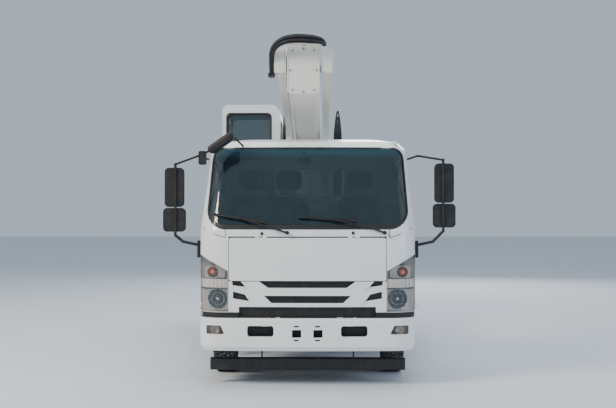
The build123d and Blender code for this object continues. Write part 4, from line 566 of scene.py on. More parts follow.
def oblong(x0: float, x1: float, z0: float, z1: float, radius: float = 0.0) -> list[Flat]:
    """A rectangle's outline from its four sides, with round corners if a radius is given."""
    corners = [(x0, z0), (x1, z0), (x1, z1), (x0, z1)]
    return arc_corners(corners, [radius] * 4) if radius else corners


def mirrored(outline: tuple[Flat, ...] | list[Flat], s: int) -> list[Flat]:
    """An outline on the truck's left, or on its right where s is -1."""
    return [(s * x, z) for x, z in outline]


def dish(rim: float, depth: float, radius: float, rows: range, steps: int = 6) -> list[Flat]:
    """Points of a bowl's section.

    Args:
        rim: How far back its rim lies.
        depth: How deep it is behind the rim.
        radius: The rim's radius.
        rows: Which steps from the middle to the rim it has, in order.
        steps: Steps from the middle to the rim.

    Returns:
        Distance along the axis and radius of each point.
    """
    return [(rim + depth * (1 - (k / steps) ** 2), radius * k / steps) for k in rows]


def turns(count: int, first: float = 0.0) -> list[float]:
    """Even angles round a circle, the first one given as a share of the gap between them."""
    return [2 * math.pi * (k + first) / count for k in range(count)]


def hoop(at: Vector, across: Vector, up: Vector, radius: float, sides: int) -> list[Point]:
    """A ring of points about a centre, in the plane of two directions."""
    return [tuple(at + radius * (across * math.cos(a) + up * math.sin(a))) for a in turns(sides)]


def sides_of(outline: list[Flat]) -> list[tuple[Flat, Flat]]:
    """Both ends of each side of an outline."""
    return list(zip(outline, outline[1:] + outline[:1]))


def stretch(a: Flat, b: Flat, parts: int) -> list[Flat]:
    """Even points from one place up to another, which is left out."""
    return [(a[0] + (b[0] - a[0]) * k / parts, a[1] + (b[1] - a[1]) * k / parts)
            for k in range(parts)]


def directions(points: list[Vector]) -> list[Vector]:
    """The direction of a path at each of its points."""
    ends = [points[0], *points, points[-1]]
    return [(b - a).normalized() for a, b in zip(ends, ends[2:])]


def arc_corners(points: list[Flat], radii: list[float], steps: int = 8) -> list[Flat]:
    """Rounds the corners of a flat outline.

    Args:
        points: The outline's corners in order.
        radii: A radius for each corner.
        steps: Pieces in each rounded corner.

    Returns:
        The outline's points with the arcs in place.
    """
    out: list[Flat] = []
    for last, at, following, radius in zip(points[-1:] + points, points, points[1:] + points[:1],
                                           radii):
        here = Vector(at)
        before = (Vector(last) - here).normalized()
        after = (Vector(following) - here).normalized()
        half = before.angle(after) / 2
        reach = radius / math.tan(half)
        centre = here + (before + after).normalized() * radius / math.sin(half)
        start, end = here + before * reach - centre, here + after * reach - centre
        for k in range(steps + 1):
            spoke = (start * (1 - k / steps) + end * (k / steps)).normalized() * radius
            out.append(tuple(centre + spoke))
    return out


def smooth_path(points: list[Point], steps: int = 6) -> list[Point]:
    """A rounded path through every point given.

    Args:
        points: The points.
        steps: Pieces between one point and the next.

    Returns:
        The path's points.
    """
    ends = [Vector(p) for p in points]
    ends = [2 * ends[0] - ends[1], *ends, 2 * ends[-1] - ends[-2]]
    out: list[Point] = []
    for a, b, c, d in zip(ends, ends[1:], ends[2:], ends[3:]):
        for k in range(steps):
            t = k / steps
            out.append(tuple(0.5 * (2 * b + (c - a) * t + (2 * a - 5 * b + 4 * c - d) * t * t
                                    + (3 * b - a - 3 * c + d) * t ** 3)))
    out.append(tuple(ends[-2]))
    return out


@dataclass(frozen=True)
class CabForm:
    """The cab's outer skin as the shell has it.

    Each level holds a height, how far the front edge lies behind the bumper's face there, and
    half the width.
    """

    levels: tuple[Point, ...] = (
        (640, 62, 1008), (1180, 55, 1017), (1440, 75, 1015), (2215, 445, 945), (2290, 545, 880),
        (2328, 820, 740),
    )
    bow: float = 45.0
    corner: float = 230.0

    def level(self, z: float) -> Flat:
        """The skin's plan at a height.

        Args:
            z: The height.

        Returns:
            How far the front edge lies behind the bumper's face, and half the width.
        """
        for low, high in zip(self.levels, self.levels[1:]):
            if z <= high[0]:
                share = (z - low[0]) / (high[0] - low[0])
                return (low[1] + share * (high[1] - low[1]), low[2] + share * (high[2] - low[2]))
        return self.levels[-1][1:]

    def front(self, x: float, z: float, inset: float = 0.0) -> Point:
        """A point of the front skin, drawn in by the inset.

        Args:
            x: Place across the truck.
            z: Height.
            inset: How far inside the skin; negative is in front of it.

        Returns:
            The point on the skin at that place.
        """
        edge, half = self.level(z)
        half -= inset
        corner = self.corner - inset
        far = (half ** 2 + self.bow ** 2) / (2 * self.bow)
        reach = half - corner
        if abs(x) <= reach * far / (far - corner):
            back = far - math.sqrt(far ** 2 - x ** 2)
        else:
            beyond = min(abs(x) - reach, corner)
            depth = far - math.sqrt((far - corner) ** 2 - reach ** 2)
            back = depth - math.sqrt(corner ** 2 - beyond ** 2)
        return (x, FRONT + edge + inset + back, z)

    def ring(self, outline: list[Flat], inset: float) -> list[Point]:
        """An outline seen from the front, laid on the skin."""
        return [self.front(x, z, inset) for x, z in outline]


CAB = CabForm()


# Makers of pieces


class Maker:
    """What makes a mesh and puts it into the scene as a finished piece."""

    def mesh(self, name: str, finish: Finish) -> bpy.types.Mesh:
        """The mesh, in metres; each kind of maker has its own way."""
        raise NotImplementedError

    def piece(self, name: str, finish: Finish, body: str, slot: str, bevel: float = 0.0,
              angle: float = 35.0, replaces: tuple[str, ...] = ()) -> bpy.types.Object:
        """Makes the finished piece, on its body.

        Args:
            name: The piece's name.
            finish: Its surface.
            body: The body that it moves with.
            slot: A material slot's name, which is not used.
            bevel: Width of its softened edges, or 0.
            angle: Faces that meet at less than this shade as one.
            replaces: Solids that it stands for.

        Returns:
            The object.
        """
        mesh = self.mesh(name, finish)
        mesh.materials.clear()
        mesh.materials.append(finish.material())
        mesh.shade_smooth()
        mesh.set_sharp_from_angle(angle=math.radians(angle))
        piece = stand(name, mesh)
        if bevel:
            edge = piece.modifiers.new("edges", "BEVEL")
            edge.width = bevel * MM
            edge.segments = 2
            edge.limit_method = "ANGLE"
        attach(piece, body)
        if replaces:
            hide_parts(*replaces)
        log.info("%s: %d faces on %s", name, len(mesh.polygons), body)
        return piece


def stand(name: str, data: bpy.types.ID) -> bpy.types.Object:
    """Puts a new object into the scene.

    Args:
        name: Its name.
        data: Its mesh, light or camera.

    Returns:
        The object.
    """
    made = bpy.data.objects.new(name, data)
    bpy.context.scene.collection.objects.link(made)
    return made


class Shape(Maker):
    """A mesh in the making, in millimetres in the truck's frame."""

    def __init__(self) -> None:
        """Starts with nothing."""
        self.bm = bmesh.new()

    def skin(self, rings: list[list[Point]], caps: bool = True, closed: bool = True) -> "Shape":
        """A surface through rings of points.

        Args:
            rings: The rings, each with the same number of points.
            caps: True closes both ends with a face.
            closed: True joins each ring's last point to its first.

        Returns:
            The shape itself.
        """
        made = [[self.bm.verts.new(p) for p in ring] for ring in rings]
        for first, second in zip(made, made[1:]):
            count = len(first)
            for n in range(count if closed else count - 1):
                m = (n + 1) % count
                self.bm.faces.new((first[n], first[m], second[m], second[n]))
        if caps:
            self.bm.faces.new(made[0])
            self.bm.faces.new(made[-1])
        return self

    def band(self, rings: list[list[Point]]) -> "Shape":
        """A closed band, whose last ring joins its first."""
        return self.skin(rings + rings[:1], caps=False)

    def box(self, centre: Point, size: Point) -> "Shape":
        """A block.

        Args:
            centre: Its middle.
            size: Its width, length and height.

        Returns:
            The shape itself.
        """
        verts = bmesh.ops.create_cube(self.bm, size=1.0)["verts"]
        bmesh.ops.scale(self.bm, vec=size, verts=verts)
        bmesh.ops.translate(self.bm, vec=centre, verts=verts)
        return self

    def prism(self, outline: list[Point], run: Point) -> "Shape":
        """A prism from a closed outline along a run."""
        return self.skin([outline, [tuple(Vector(p) + Vector(run)) for p in outline]])

    def tube(self, path: list[Point], radius: float, sides: int = 12) -> "Shape":
        """A round bar.

        Args:
            path: Points along its middle.
            radius: Its radius.
            sides: Faces round it.

        Returns:
            The shape itself.
        """
        points = [Vector(p) for p in path]
        lean = Vector((0, 0, 1))
        rings = []
        for at, run in zip(points, directions(points)):
            if abs(run.dot(lean)) > 0.98:
                lean = Vector((0, 1, 0)) if abs(run.y) < 0.9 else Vector((1, 0, 0))
            across = run.cross(lean).normalized()
            lean = across.cross(run).normalized()
            rings.append(hoop(at, across, lean, radius, sides))
        return self.skin(rings)

    def lathe(self, profile: list[Flat], centre: Point, axis: Point, sides: int = 24,
              closed: bool = False) -> "Shape":
        """A turned shape.

        Args:
            profile: Distance along the axis and radius, in order.
            centre: Where the axis starts.
            axis: The axis's direction.
            sides: Faces round it.
            closed: True joins the last point of the profile to the first.

        Returns:
            The shape itself.
        """
        run = Vector(axis).normalized()
        across = run.orthogonal().normalized()
        rings = [hoop(Vector(centre) + run * along, across, run.cross(across), radius, sides)
                 for along, radius in profile]
        return self.band(rings) if closed else self.skin(rings)

    def drape(self, outline: list[Flat], inset: float, step: float, thickness: float,
              holes: tuple[list[Flat], ...] = ()) -> "Shape":
        """A patch of the cab's front skin inside an outline seen from the front.

        Args:
            outline: The patch's corners, across and up.
            inset: How far its outer face lies inside the skin.
            step: The widest stretch that may stay flat.
            thickness: How thick the patch is.
            holes: Convex openings, each as its corners.

        Returns:
            The shape itself.
        """
        flat = bmesh.new()
        flat.faces.new([flat.verts.new((x, 0, z)) for x, z in outline])

        def cut(spot: Point, normal: Point) -> None:
            """Cuts the flat patch along a plane."""
            everything = flat.verts[:] + flat.edges[:] + flat.faces[:]
            bmesh.ops.bisect_plane(flat, geom=everything, plane_co=spot, plane_no=normal)

        # Even cuts across and up, so that the patch can follow the skin's curve
        for values, way in zip(zip(*outline), (Vector((1, 0, 0)), Vector((0, 0, 1)))):
            at = min(values) + step
            while at < max(values):
                cut(way * at, way)
                at += step
        for hole in holes:
            edges = sides_of(hole)
            for (x0, z0), (x1, z1) in edges:
                cut((x0, 0, z0), (z1 - z0, 0, x0 - x1))
            inside = []
            for f in flat.faces:
                at = f.calc_center_median()
                sides = [(x1 - x0) * (at.z - z0) - (z1 - z0) * (at.x - x0) > 0
                         for (x0, z0), (x1, z1) in edges]
                if all(sides) or not any(sides):
                    inside.append(f)
            bmesh.ops.delete(flat, geom=inside, context="FACES")
        bmesh.ops.triangulate(flat, faces=flat.faces[:])
        # The outer face, the inner face and the edges that join them
        layers = []
        for deep in (inset, inset + thickness):
            made = {v: self.bm.verts.new(CAB.front(v.co.x, v.co.z, deep)) for v in flat.verts}
            for f in flat.faces:
                corners = [made[v] for v in f.verts]
                self.bm.faces.new(corners[::-1] if layers else corners)
            layers.append(made)
        outer, inner = layers
        for e in flat.edges:
            if len(e.link_faces) == 1:
                a, b = e.verts
                self.bm.faces.new((outer[a], outer[b], inner[b], inner[a]))
        flat.free()
        return self

    def mesh(self, name: str, finish: Finish) -> bpy.types.Mesh:
        """Turns the shape into a mesh whose faces look outwards.

        Args:
            name: The mesh's name.
            finish: The surface, which a plain shape needs no mesh data for.

        Returns:
            The mesh, in metres.
        """
        bmesh.ops.recalc_face_normals(self.bm, faces=self.bm.faces[:])
        bmesh.ops.scale(self.bm, vec=(MM, MM, MM), verts=self.bm.verts[:])
        mesh = bpy.data.meshes.new(name)
        self.bm.to_mesh(mesh)
        self.bm.free()
        return mesh


class Unit(Enum):
    """The small shape that a repeater sets on each of its points."""

    HEAD = "hexagon head"
    BLOCK = "block"


@dataclass
class Repeater(Maker):
    """Sets one small shape on every point of a guide, by Geometry Nodes."""

    unit: Unit
    size: Point
    points: list[tuple[Point, Point]] = field(default_factory=list)
    seed: int = 7

    def add(self, at: Point, axis: Point) -> None:
        """Adds a point with the direction that its shape stands up in."""
        self.points.append((at, axis))

    def tree(self) -> Tree:
        """Sets a shape on each point, turns it to its axis, makes it real and dresses it.

        Returns:
            The node group.
        """
        tree = bpy.data.node_groups.new(f"repeat {self.unit.value}", "GeometryNodeTree")
        for name, kind in (("Geometry", "Geometry"), ("Width", "Float"), ("Length", "Float"),
                           ("Height", "Float"), ("Seed", "Int"), ("Finish", "Material")):
            tree.interface.new_socket(name, in_out="INPUT", socket_type=f"NodeSocket{kind}")
        tree.interface.new_socket("Geometry", in_out="OUTPUT", socket_type="NodeSocketGeometry")
        given = add_node(tree, "NodeGroupInput").outputs
        axis = add_node(tree, "GeometryNodeInputNamedAttribute", {0: "axis"},
                        data_type="FLOAT_VECTOR").outputs["Attribute"]
        align = add_node(tree, "FunctionNodeAlignRotationToVector", {"Vector": axis}, axis="Z")
        stand_up = align.outputs[0]
        if self.unit is Unit.BLOCK:
            align.pivot_axis = "X"
            size = add_node(tree, "ShaderNodeCombineXYZ", {
                0: given["Width"], 1: given["Length"], 2: given["Height"]}).outputs[0]
            unit = add_node(tree, "GeometryNodeMeshCube", {"Size": size}).outputs["Mesh"]
        else:
            half = add_node(tree, "ShaderNodeMath", {0: given["Width"], 1: 0.5},
                            operation="MULTIPLY").outputs[0]
            unit = add_node(tree, "GeometryNodeMeshCylinder", {
                "Vertices": 6, "Radius": half, "Depth": given["Height"]}).outputs["Mesh"]
            spin = add_node(tree, "FunctionNodeRandomValue", {
                "Min": (0, 0, 0), "Max": (0, 0, math.pi), "Seed": given["Seed"]},
                data_type="FLOAT_VECTOR").outputs[0]
            turn = add_node(tree, "FunctionNodeEulerToRotation", {0: spin}).outputs[0]
            stand_up = add_node(tree, "FunctionNodeRotateRotation", {
                "Rotation": stand_up, "Rotate By": turn}, rotation_space="LOCAL").outputs[0]
        copies = add_node(tree, "GeometryNodeInstanceOnPoints", {
            "Points": given["Geometry"], "Instance": unit, "Rotation": stand_up}).outputs[0]
        real = add_node(tree, "GeometryNodeRealizeInstances", {0: copies}).outputs[0]
        done = add_node(tree, "GeometryNodeSetMaterial", {
            "Geometry": real, "Material": given["Finish"]}).outputs[0]
        add_node(tree, "NodeGroupOutput", {0: done})
        return tree

    def mesh(self, name: str, finish: Finish) -> bpy.types.Mesh:
        """Runs the tree and keeps what it gives as a plain mesh.

        Args:
            name: The mesh's name.
            finish: The surface that the tree sets.

        Returns:
            The mesh, in metres.
        """
        guide = bpy.data.meshes.new(f"{name}_guide")
        guide.from_pydata([tuple(c * MM for c in at) for at, _ in self.points], [], [])
        axes = guide.attributes.new("axis", "FLOAT_VECTOR", "POINT")
        for n, (_, axis) in enumerate(self.points):
            axes.data[n].vector = axis
        holder = stand(f"{name}_guide", guide)
        modifier = holder.modifiers.new("repeat", "NODES")
        modifier.node_group = self.tree()
        values = dict(zip(("Width", "Length", "Height"), (c * MM for c in self.size)),
                      Seed=self.seed, Finish=finish.material())
        for item in modifier.node_group.interface.items_tree:
            if item.in_out == "INPUT" and item.name in values:
                modifier[item.identifier] = values[item.name]
        bpy.context.view_layer.update()
        graph = bpy.context.evaluated_depsgraph_get()
        mesh = bpy.data.meshes.new_from_object(holder.evaluated_get(graph), depsgraph=graph)
        mesh.name = name
        bpy.data.objects.remove(holder)
        return mesh


# Wheels


@dataclass
class Tyre:
    """A 7.5-16 class light truck tyre with blocky winter tread."""

    name: str
    body: str
    centres: tuple[float, ...]
    axle_y: float
    half_width: float = 107.5
    bead: float = 236.5
    groove: float = 371.0
    rows: tuple[float, ...] = (-78.0, -39.0, 0.0, 39.0, 78.0)
    blocks: int = 54
    block: Point = (31.0, 33.0, 15.0)
    sunk: float = 7.6
    crown: float = 3.0

    def carcass(self) -> None:
        """The tyre without its blocks, turned from its section."""
        shoulder = TYRE_RADIUS - 16
        middle = (self.bead + shoulder) / 2
        section = [(-84, self.bead), (-90, self.bead + 8), (-101, self.bead + 26),
                   (-106.6, middle - 24), (-self.half_width, middle), (-106.2, middle + 10),
                   (-106.9, middle + 13), (-105.6, middle + 30), (-100, shoulder - 12),
                   (-95.5, shoulder), (-84, self.groove)]
        ring = section + [(-x, r) for x, r in reversed(section)]
        shape = Shape()
        for centre in self.centres:
            shape.lathe(ring, (centre, self.axle_y, TYRE_RADIUS), (1, 0, 0), 72, closed=True)
        shape.piece(f"{self.name}_carcass", TYRE_RUBBER, self.body, "tyre", angle=50,
                    replaces=(self.name,))

    def tread(self) -> None:
        """Five rows of blocks, each row set half a pitch from the next."""
        blocks = Repeater(Unit.BLOCK, self.block)
        for centre in self.centres:
            for row, x in enumerate(self.rows):
                reach = TYRE_RADIUS - self.sunk - self.crown * (x / self.rows[-1]) ** 2
                for turn in turns(self.blocks, 0.5 * (row % 2)):
                    axis = (0.0, math.cos(turn), math.sin(turn))
                    blocks.add((centre + x, self.axle_y + reach * axis[1],
                                TYRE_RADIUS + reach * axis[2]), axis)
        blocks.piece(f"{self.name}_tread", TYRE_RUBBER, self.body, "tyre")


@dataclass
class Wheels:
    """The six tyres and the wheels' nuts, as the four wheel bodies carry them.

    A track is how far a wheel's middle lies from the truck's, and half a twin pair's gap is twin.
    The rays that seat the nuts start beside the truck.
    """

    front_track: float = 840.0
    rear_track: float = 825.0
    twin: float = 117.5
    nuts: int = 6
    nut_circle: float = 111.0
    nut: Point = (27.0, 27.0, 22.0)
    nut_lift: float = 9.0
    beside: float = 1500.0

    def tyres(self) -> None:
        """One tyre at each front wheel and two at each rear one."""
        for s, side in HANDS:
            rear = s * self.rear_track
            for tyre in (Tyre(f"front_{side}_tyre", f"front_{side}_wheel",
                              (s * self.front_track,), FRONT_AXLE),
                         Tyre(f"rear_{side}_tyres", f"rear_{side}_wheels",
                              (rear - self.twin, rear + self.twin), REAR_AXLE)):
                tyre.carcass()
                tyre.tread()

    def nut_sets(self) -> None:
        """One set of nuts for each wheel body, seated on the rim's disc."""
        for axle, y, rims, wheel in (("front", FRONT_AXLE, "rim", "wheel"),
                                     ("rear", REAR_AXLE, "rims", "wheels")):
            for s, side in HANDS:
                nuts = Repeater(Unit.HEAD, self.nut)
                for turn in turns(self.nuts, 0.5):
                    start = (s * self.beside, y + self.nut_circle * math.cos(turn),
                             TYRE_RADIUS + self.nut_circle * math.sin(turn))
                    seat = face_at(f"{axle}_{side}_{rims}", start, (-s, 0, 0))
                    nuts.add((seat[0] + s * self.nut_lift, *seat[1:]), (s, 0, 0))
                nuts.piece(f"{axle}_{side}_wheel_nuts", STEEL, f"{axle}_{side}_{wheel}",
                           "rim_paint")

    def build(self) -> None:
        """Makes the tyres and the nuts."""
        self.tyres()
        self.nut_sets()


# Cab


@dataclass
class Screen:
    """The windscreen's rubber, black border and the parts that show through it."""

    corners: tuple[Flat, ...] = ((-950, 1450), (950, 1450), (914, 2228), (-914, 2228))
    lower: float = 180.0
    upper: float = 110.0
    side_parts: int = 14
    long_side: float = 300.0
    mirror: tuple[float, ...] = (-100, 25, 2085, 2140)
    mirror_y: float = FRONT + 560
    mirror_depth: float = 26.0
    nozzle_places: tuple[Flat, ...] = ((-421, 1408), (423, 1414))
    nozzle_radius: float = 15.0
    nozzle_height: float = 14.0
    seams: tuple[tuple[Flat, ...], ...] = (
        ((760, 1370), (762, 1430), (768, 1455)),
        ((762, 1372), (860, 1402), (960, 1452), (1008, 1488)),
    )

    def outline(self, grow: float, low_grow: float) -> list[Flat]:
        """The opening's outline with points along its sides.

        Args:
            grow: How far it is grown; negative shrinks it.
            low_grow: How much further it is grown along the bottom.

        Returns:
            Its points.
        """
        (x0, z0), (x1, _), (x2, z2), (x3, _) = self.corners
        low = z0 - grow - low_grow
        base = [(x0 - grow, low), (x1 + grow, low), (x2 + grow, z2 + grow), (x3 - grow, z2 + grow)]
        turned = arc_corners(base, [r + grow for r in (self.lower, self.lower, self.upper,
                                                       self.upper)])
        return [point for a, b in sides_of(turned) for point in
                stretch(a, b, self.side_parts if math.dist(a, b) > self.long_side else 1)]

    def lip(self, name: str, section: tuple[Point, ...], angle: float) -> None:
        """A closed band round the opening.

        Args:
            name: The piece's name.
            section: Its rows, each as growth, further growth along the bottom, and inset.
            angle: Faces that meet at less than this shade as one.
        """
        rings = [CAB.ring(self.outline(grow, low), inset) for grow, low, inset in section]
        Shape().band(rings).piece(name, SEAL_RUBBER, "chassis", "black_plastic", angle=angle)

    def inner_mirror(self) -> None:
        """The driver's inside mirror, hung from the roof behind the glass."""
        y = self.mirror_y
        shape = Shape().prism([(x, y, z) for x, z in oblong(*self.mirror, 22)],
                              (0, self.mirror_depth, 0))
        shape.tube([(-38, y + 16, 2128), (-38, y + 36, 2240)], 9)
        shape.piece("inside_mirror", BLACK_PLASTIC, "chassis", "black_plastic", 4)

    def nozzles(self) -> None:
        """Two washer nozzles under the glass."""
        shape = Shape()
        radius, height = self.nozzle_radius, self.nozzle_height
        for x, z in self.nozzle_places:
            shape.lathe([(0, radius), (height * 0.6, radius), (height, radius * 0.6)],
                        CAB.front(x, z, 4), (0, -1, 0.1), 20)
        shape.piece("washer_nozzles", BLACK_PLASTIC, "chassis", "black_plastic")

    def cowl_seams(self) -> None:
        """The dark joint between the cowl panel and the front corners."""
        shape = Shape()
        for s in SIDES:
            for seam in self.seams:
                shape.tube(smooth_path(CAB.ring(mirrored(seam, s), 1.0), 4), 3.2, 8)
        shape.piece("cowl_seams", SEAL_RUBBER, "chassis", "black_plastic")

    def build(self) -> None:
        """Makes the border, 18 mm wide and 38 mm at the bottom, the seal and the small parts."""
        self.lip("windscreen_black_border",
                 ((3, 0, 5.0), (-18, -20, 5.0), (-18, -20, 6.2), (3, 0, 6.2)), 35)
        self.lip("windscreen_seal",
                 ((6, 0, 0.5), (0, 0, -2.5), (-7, 0, 0.5), (-7, 0, 4.8), (6, 0, 4.8)), 60)
        self.inner_mirror()
        self.nozzles()
        self.cowl_seams()


@dataclass
class Headlamp:
    """A corner lamp: a round reflector below, a turn lamp and a fluted strip above."""

    s: int
    word: str
    inner: float = 737
    outer: float = 1012
    low: float = 686
    joint: float = 894
    crest: tuple[Flat, ...] = ((1012, 1206), (1000, 1204), (737, 1058))
    bowl_centre: Flat = (838, 800)
    bowl_radius: float = 90.0
    bezel_y: float = FRONT + 168
    turn_centre: Flat = (884, 1050)
    turn_radius: float = 52.0
    bowl_edge: float = 941
    low_depth: float = 88.0
    high_depth: float = 106.0
    ribs: int = 7
    rib_pitch: float = 39.0

    def lamp_piece(self, maker: Maker, name: str, finish: Finish, angle: float = 35.0,
                   replaces: tuple[str, ...] = ()) -> bpy.types.Object:
        """Finishes a piece of this lamp, on the cab."""
        return maker.piece(f"{self.word}_{name}", finish, "chassis", "lamp", angle=angle,
                           replaces=replaces)

    def outline(self) -> list[Flat]:
        """The lens's outline."""
        return mirrored(((self.inner, self.low), (self.outer, self.low), *self.crest), self.s)

    def turned(self, shape: Shape, centre: Flat, profile: list[Flat], sides: int = 24,
               closed: bool = False) -> Shape:
        """Adds what is turned on a lathe and stands on the bezel's plane.

        Args:
            shape: The shape that gets it.
            centre: Its axis, across and up, on the truck's left.
            profile: Distance behind the plane and radius of its points.
            sides: Faces round it.
            closed: True joins the last point of the profile to the first.

        Returns:
            The shape.
        """
        x, z = centre
        return shape.lathe(profile, (self.s * x, self.bezel_y, z), (0, 1, 0), sides, closed)

    def lens(self) -> None:
        """The clear cover, which follows the corner of the cab."""
        self.lamp_piece(Shape().drape(self.outline(), 1.0, 18, 2.5), "headlamp_lens", LAMP_LENS,
                        40, ("headlamps",) if self.s > 0 else ())

    def housing(self) -> None:
        """The shell behind the lens, beside the bowl and behind the turn lamp."""
        beside = mirrored(oblong(self.bowl_edge, self.outer, self.low, self.joint), self.s)
        above = mirrored((*self.crest, (self.inner, self.joint), (self.outer, self.joint)), self.s)
        shape = Shape().drape(beside, 17, 12, 3).drape(above, self.high_depth - 2, 22, 3)
        self.lamp_piece(shape, "headlamp_housing", LAMP_BACK, 40)

    def shroud(self) -> None:
        """The wall between lens and housing."""
        shape = Shape()
        for a, b in sides_of(self.outline()):
            line = stretch(a, b, max(2, int(math.dist(a, b) / 25))) + [b]
            back = [CAB.front(x, z, self.high_depth if z > self.joint + 1 else self.low_depth)
                    for x, z in line]
            shape.skin([CAB.ring(line, 4.2), back], caps=False, closed=False)
        wall = self.lamp_piece(shape, "headlamp_shroud", LAMP_SILVER).modifiers.new(
            "wall", "SOLIDIFY")
        wall.thickness = 2 * MM
        wall.offset = 0

    def divider(self) -> None:
        """The dark bar between the chambers."""
        bar = oblong(self.inner, self.outer - 1, self.joint, self.joint + 9)
        self.lamp_piece(Shape().drape(mirrored(bar, self.s), 3.8, 18, 30), "headlamp_divider",
                        BLACK_PLASTIC)

    def reflector(self) -> None:
        """The bowl with its rolled rim and the bulb's seat."""
        r = self.bowl_radius
        bowl = [(0.0, r + 6), (-6.0, r + 3), (-6.0, r), *dish(0, 62, r, range(8, 1, -1), 9),
                (62.0, 14.0), (66.0, 14.0), *dish(6, 60, r + 4, range(2, 10), 9)]
        self.lamp_piece(self.turned(Shape(), self.bowl_centre, bowl, 40, True),
                        "headlamp_reflector", REFLECTOR, 40)

    def bulb_shade(self) -> None:
        """The dark collar, the bright cap before the bulb and the rings round them."""
        collar = [(14, 15), (14, 27), (20, 30), (60, 24), (60, 15)]
        self.lamp_piece(self.turned(Shape(), self.bowl_centre, collar, 28, True),
                        "headlamp_collar", BLACK_PLASTIC)
        cap = self.turned(Shape(), self.bowl_centre,
                          [(-2, 2), (0, 9), (6, 14), (30, 15), (64, 13)])
        for radius, along, lip in ((self.bowl_radius + 2, -3, 4.0), (52, 36, 2.5)):
            self.turned(cap, self.bowl_centre, [
                (along, radius + lip), (along - 4, radius), (along, radius - lip),
                (along + 6, radius)], 48, True)
        self.lamp_piece(cap, "headlamp_cap", CHROME, 50)

    def bezel(self) -> None:
        """The plate round the bowl and the turn lamp's plate above it."""
        shape = Shape()
        for (cx, cz), radius, forward, (x0, x1, z0, z1) in (
            (self.bowl_centre, self.bowl_radius + 5, 2, (739, 945, 690, 893)),
            (self.turn_centre, self.turn_radius, 6, (770, 960, 992, 1108)),
        ):
            ring, square = [], []
            for a in turns(32):
                c, n = math.cos(a), math.sin(a)
                # How far it is at this angle to each side of the plate that lies that way
                ends = [gap / way for gap, way in ((x1 - cx, c), (x0 - cx, c), (z1 - cz, n),
                                                   (z0 - cz, n)) if gap * way > 0.01 * abs(gap)]
                reach = max(min(ends), radius + 1)
                ring.append((cx + radius * c, cz + radius * n))
                square.append((cx + reach * c, cz + reach * n))
            shape.band([[(self.s * x, self.bezel_y + forward + dy, z) for x, z in loop]
                        for loop, dy in ((ring, 0), (square, 0), (square, 3), (ring, 3))])
        self.lamp_piece(shape, "headlamp_bezel", LAMP_SILVER)

    def strip(self) -> None:
        """The fluted strip of the position lamp, and its ribs."""
        ribs = Repeater(Unit.BLOCK, (3.0, 4.0, 74.0))
        for n in range(self.ribs):
            ribs.add(CAB.front(self.s * (756 + self.rib_pitch * n), 947, 6.5), (0, 0, 1))
        self.lamp_piece(ribs, "position_ribs", LAMP_SILVER)
        bar = mirrored(oblong(740, 1009, 908, 986), self.s)
        self.lamp_piece(Shape().drape(bar, 8.0, 18, 6), "position_strip", FLUTED_LENS, 40)

    def turn_lamp(self) -> None:
        """The amber bulb before its small bowl."""
        bulb = self.turned(Shape(), self.turn_centre,
                           [(-26, 3), (-24, 14), (-12, 21), (4, 21), (14, 12), (30, 10)])
        self.lamp_piece(bulb, "turn_bulb", AMBER_BULB, 50)
        bowl = dish(6, 34, self.turn_radius, range(6, 0, -1))
        bowl += dish(9, 34, self.turn_radius + 1, range(1, 7))
        self.lamp_piece(self.turned(Shape(), self.turn_centre, bowl, 28, True), "turn_bowl",
                        REFLECTOR, 50)

    def build(self) -> None:
        """Makes the lamp."""
        for make in (self.lens, self.housing, self.shroud, self.divider, self.reflector,
                     self.bulb_shade, self.bezel, self.strip, self.turn_lamp):
            make()


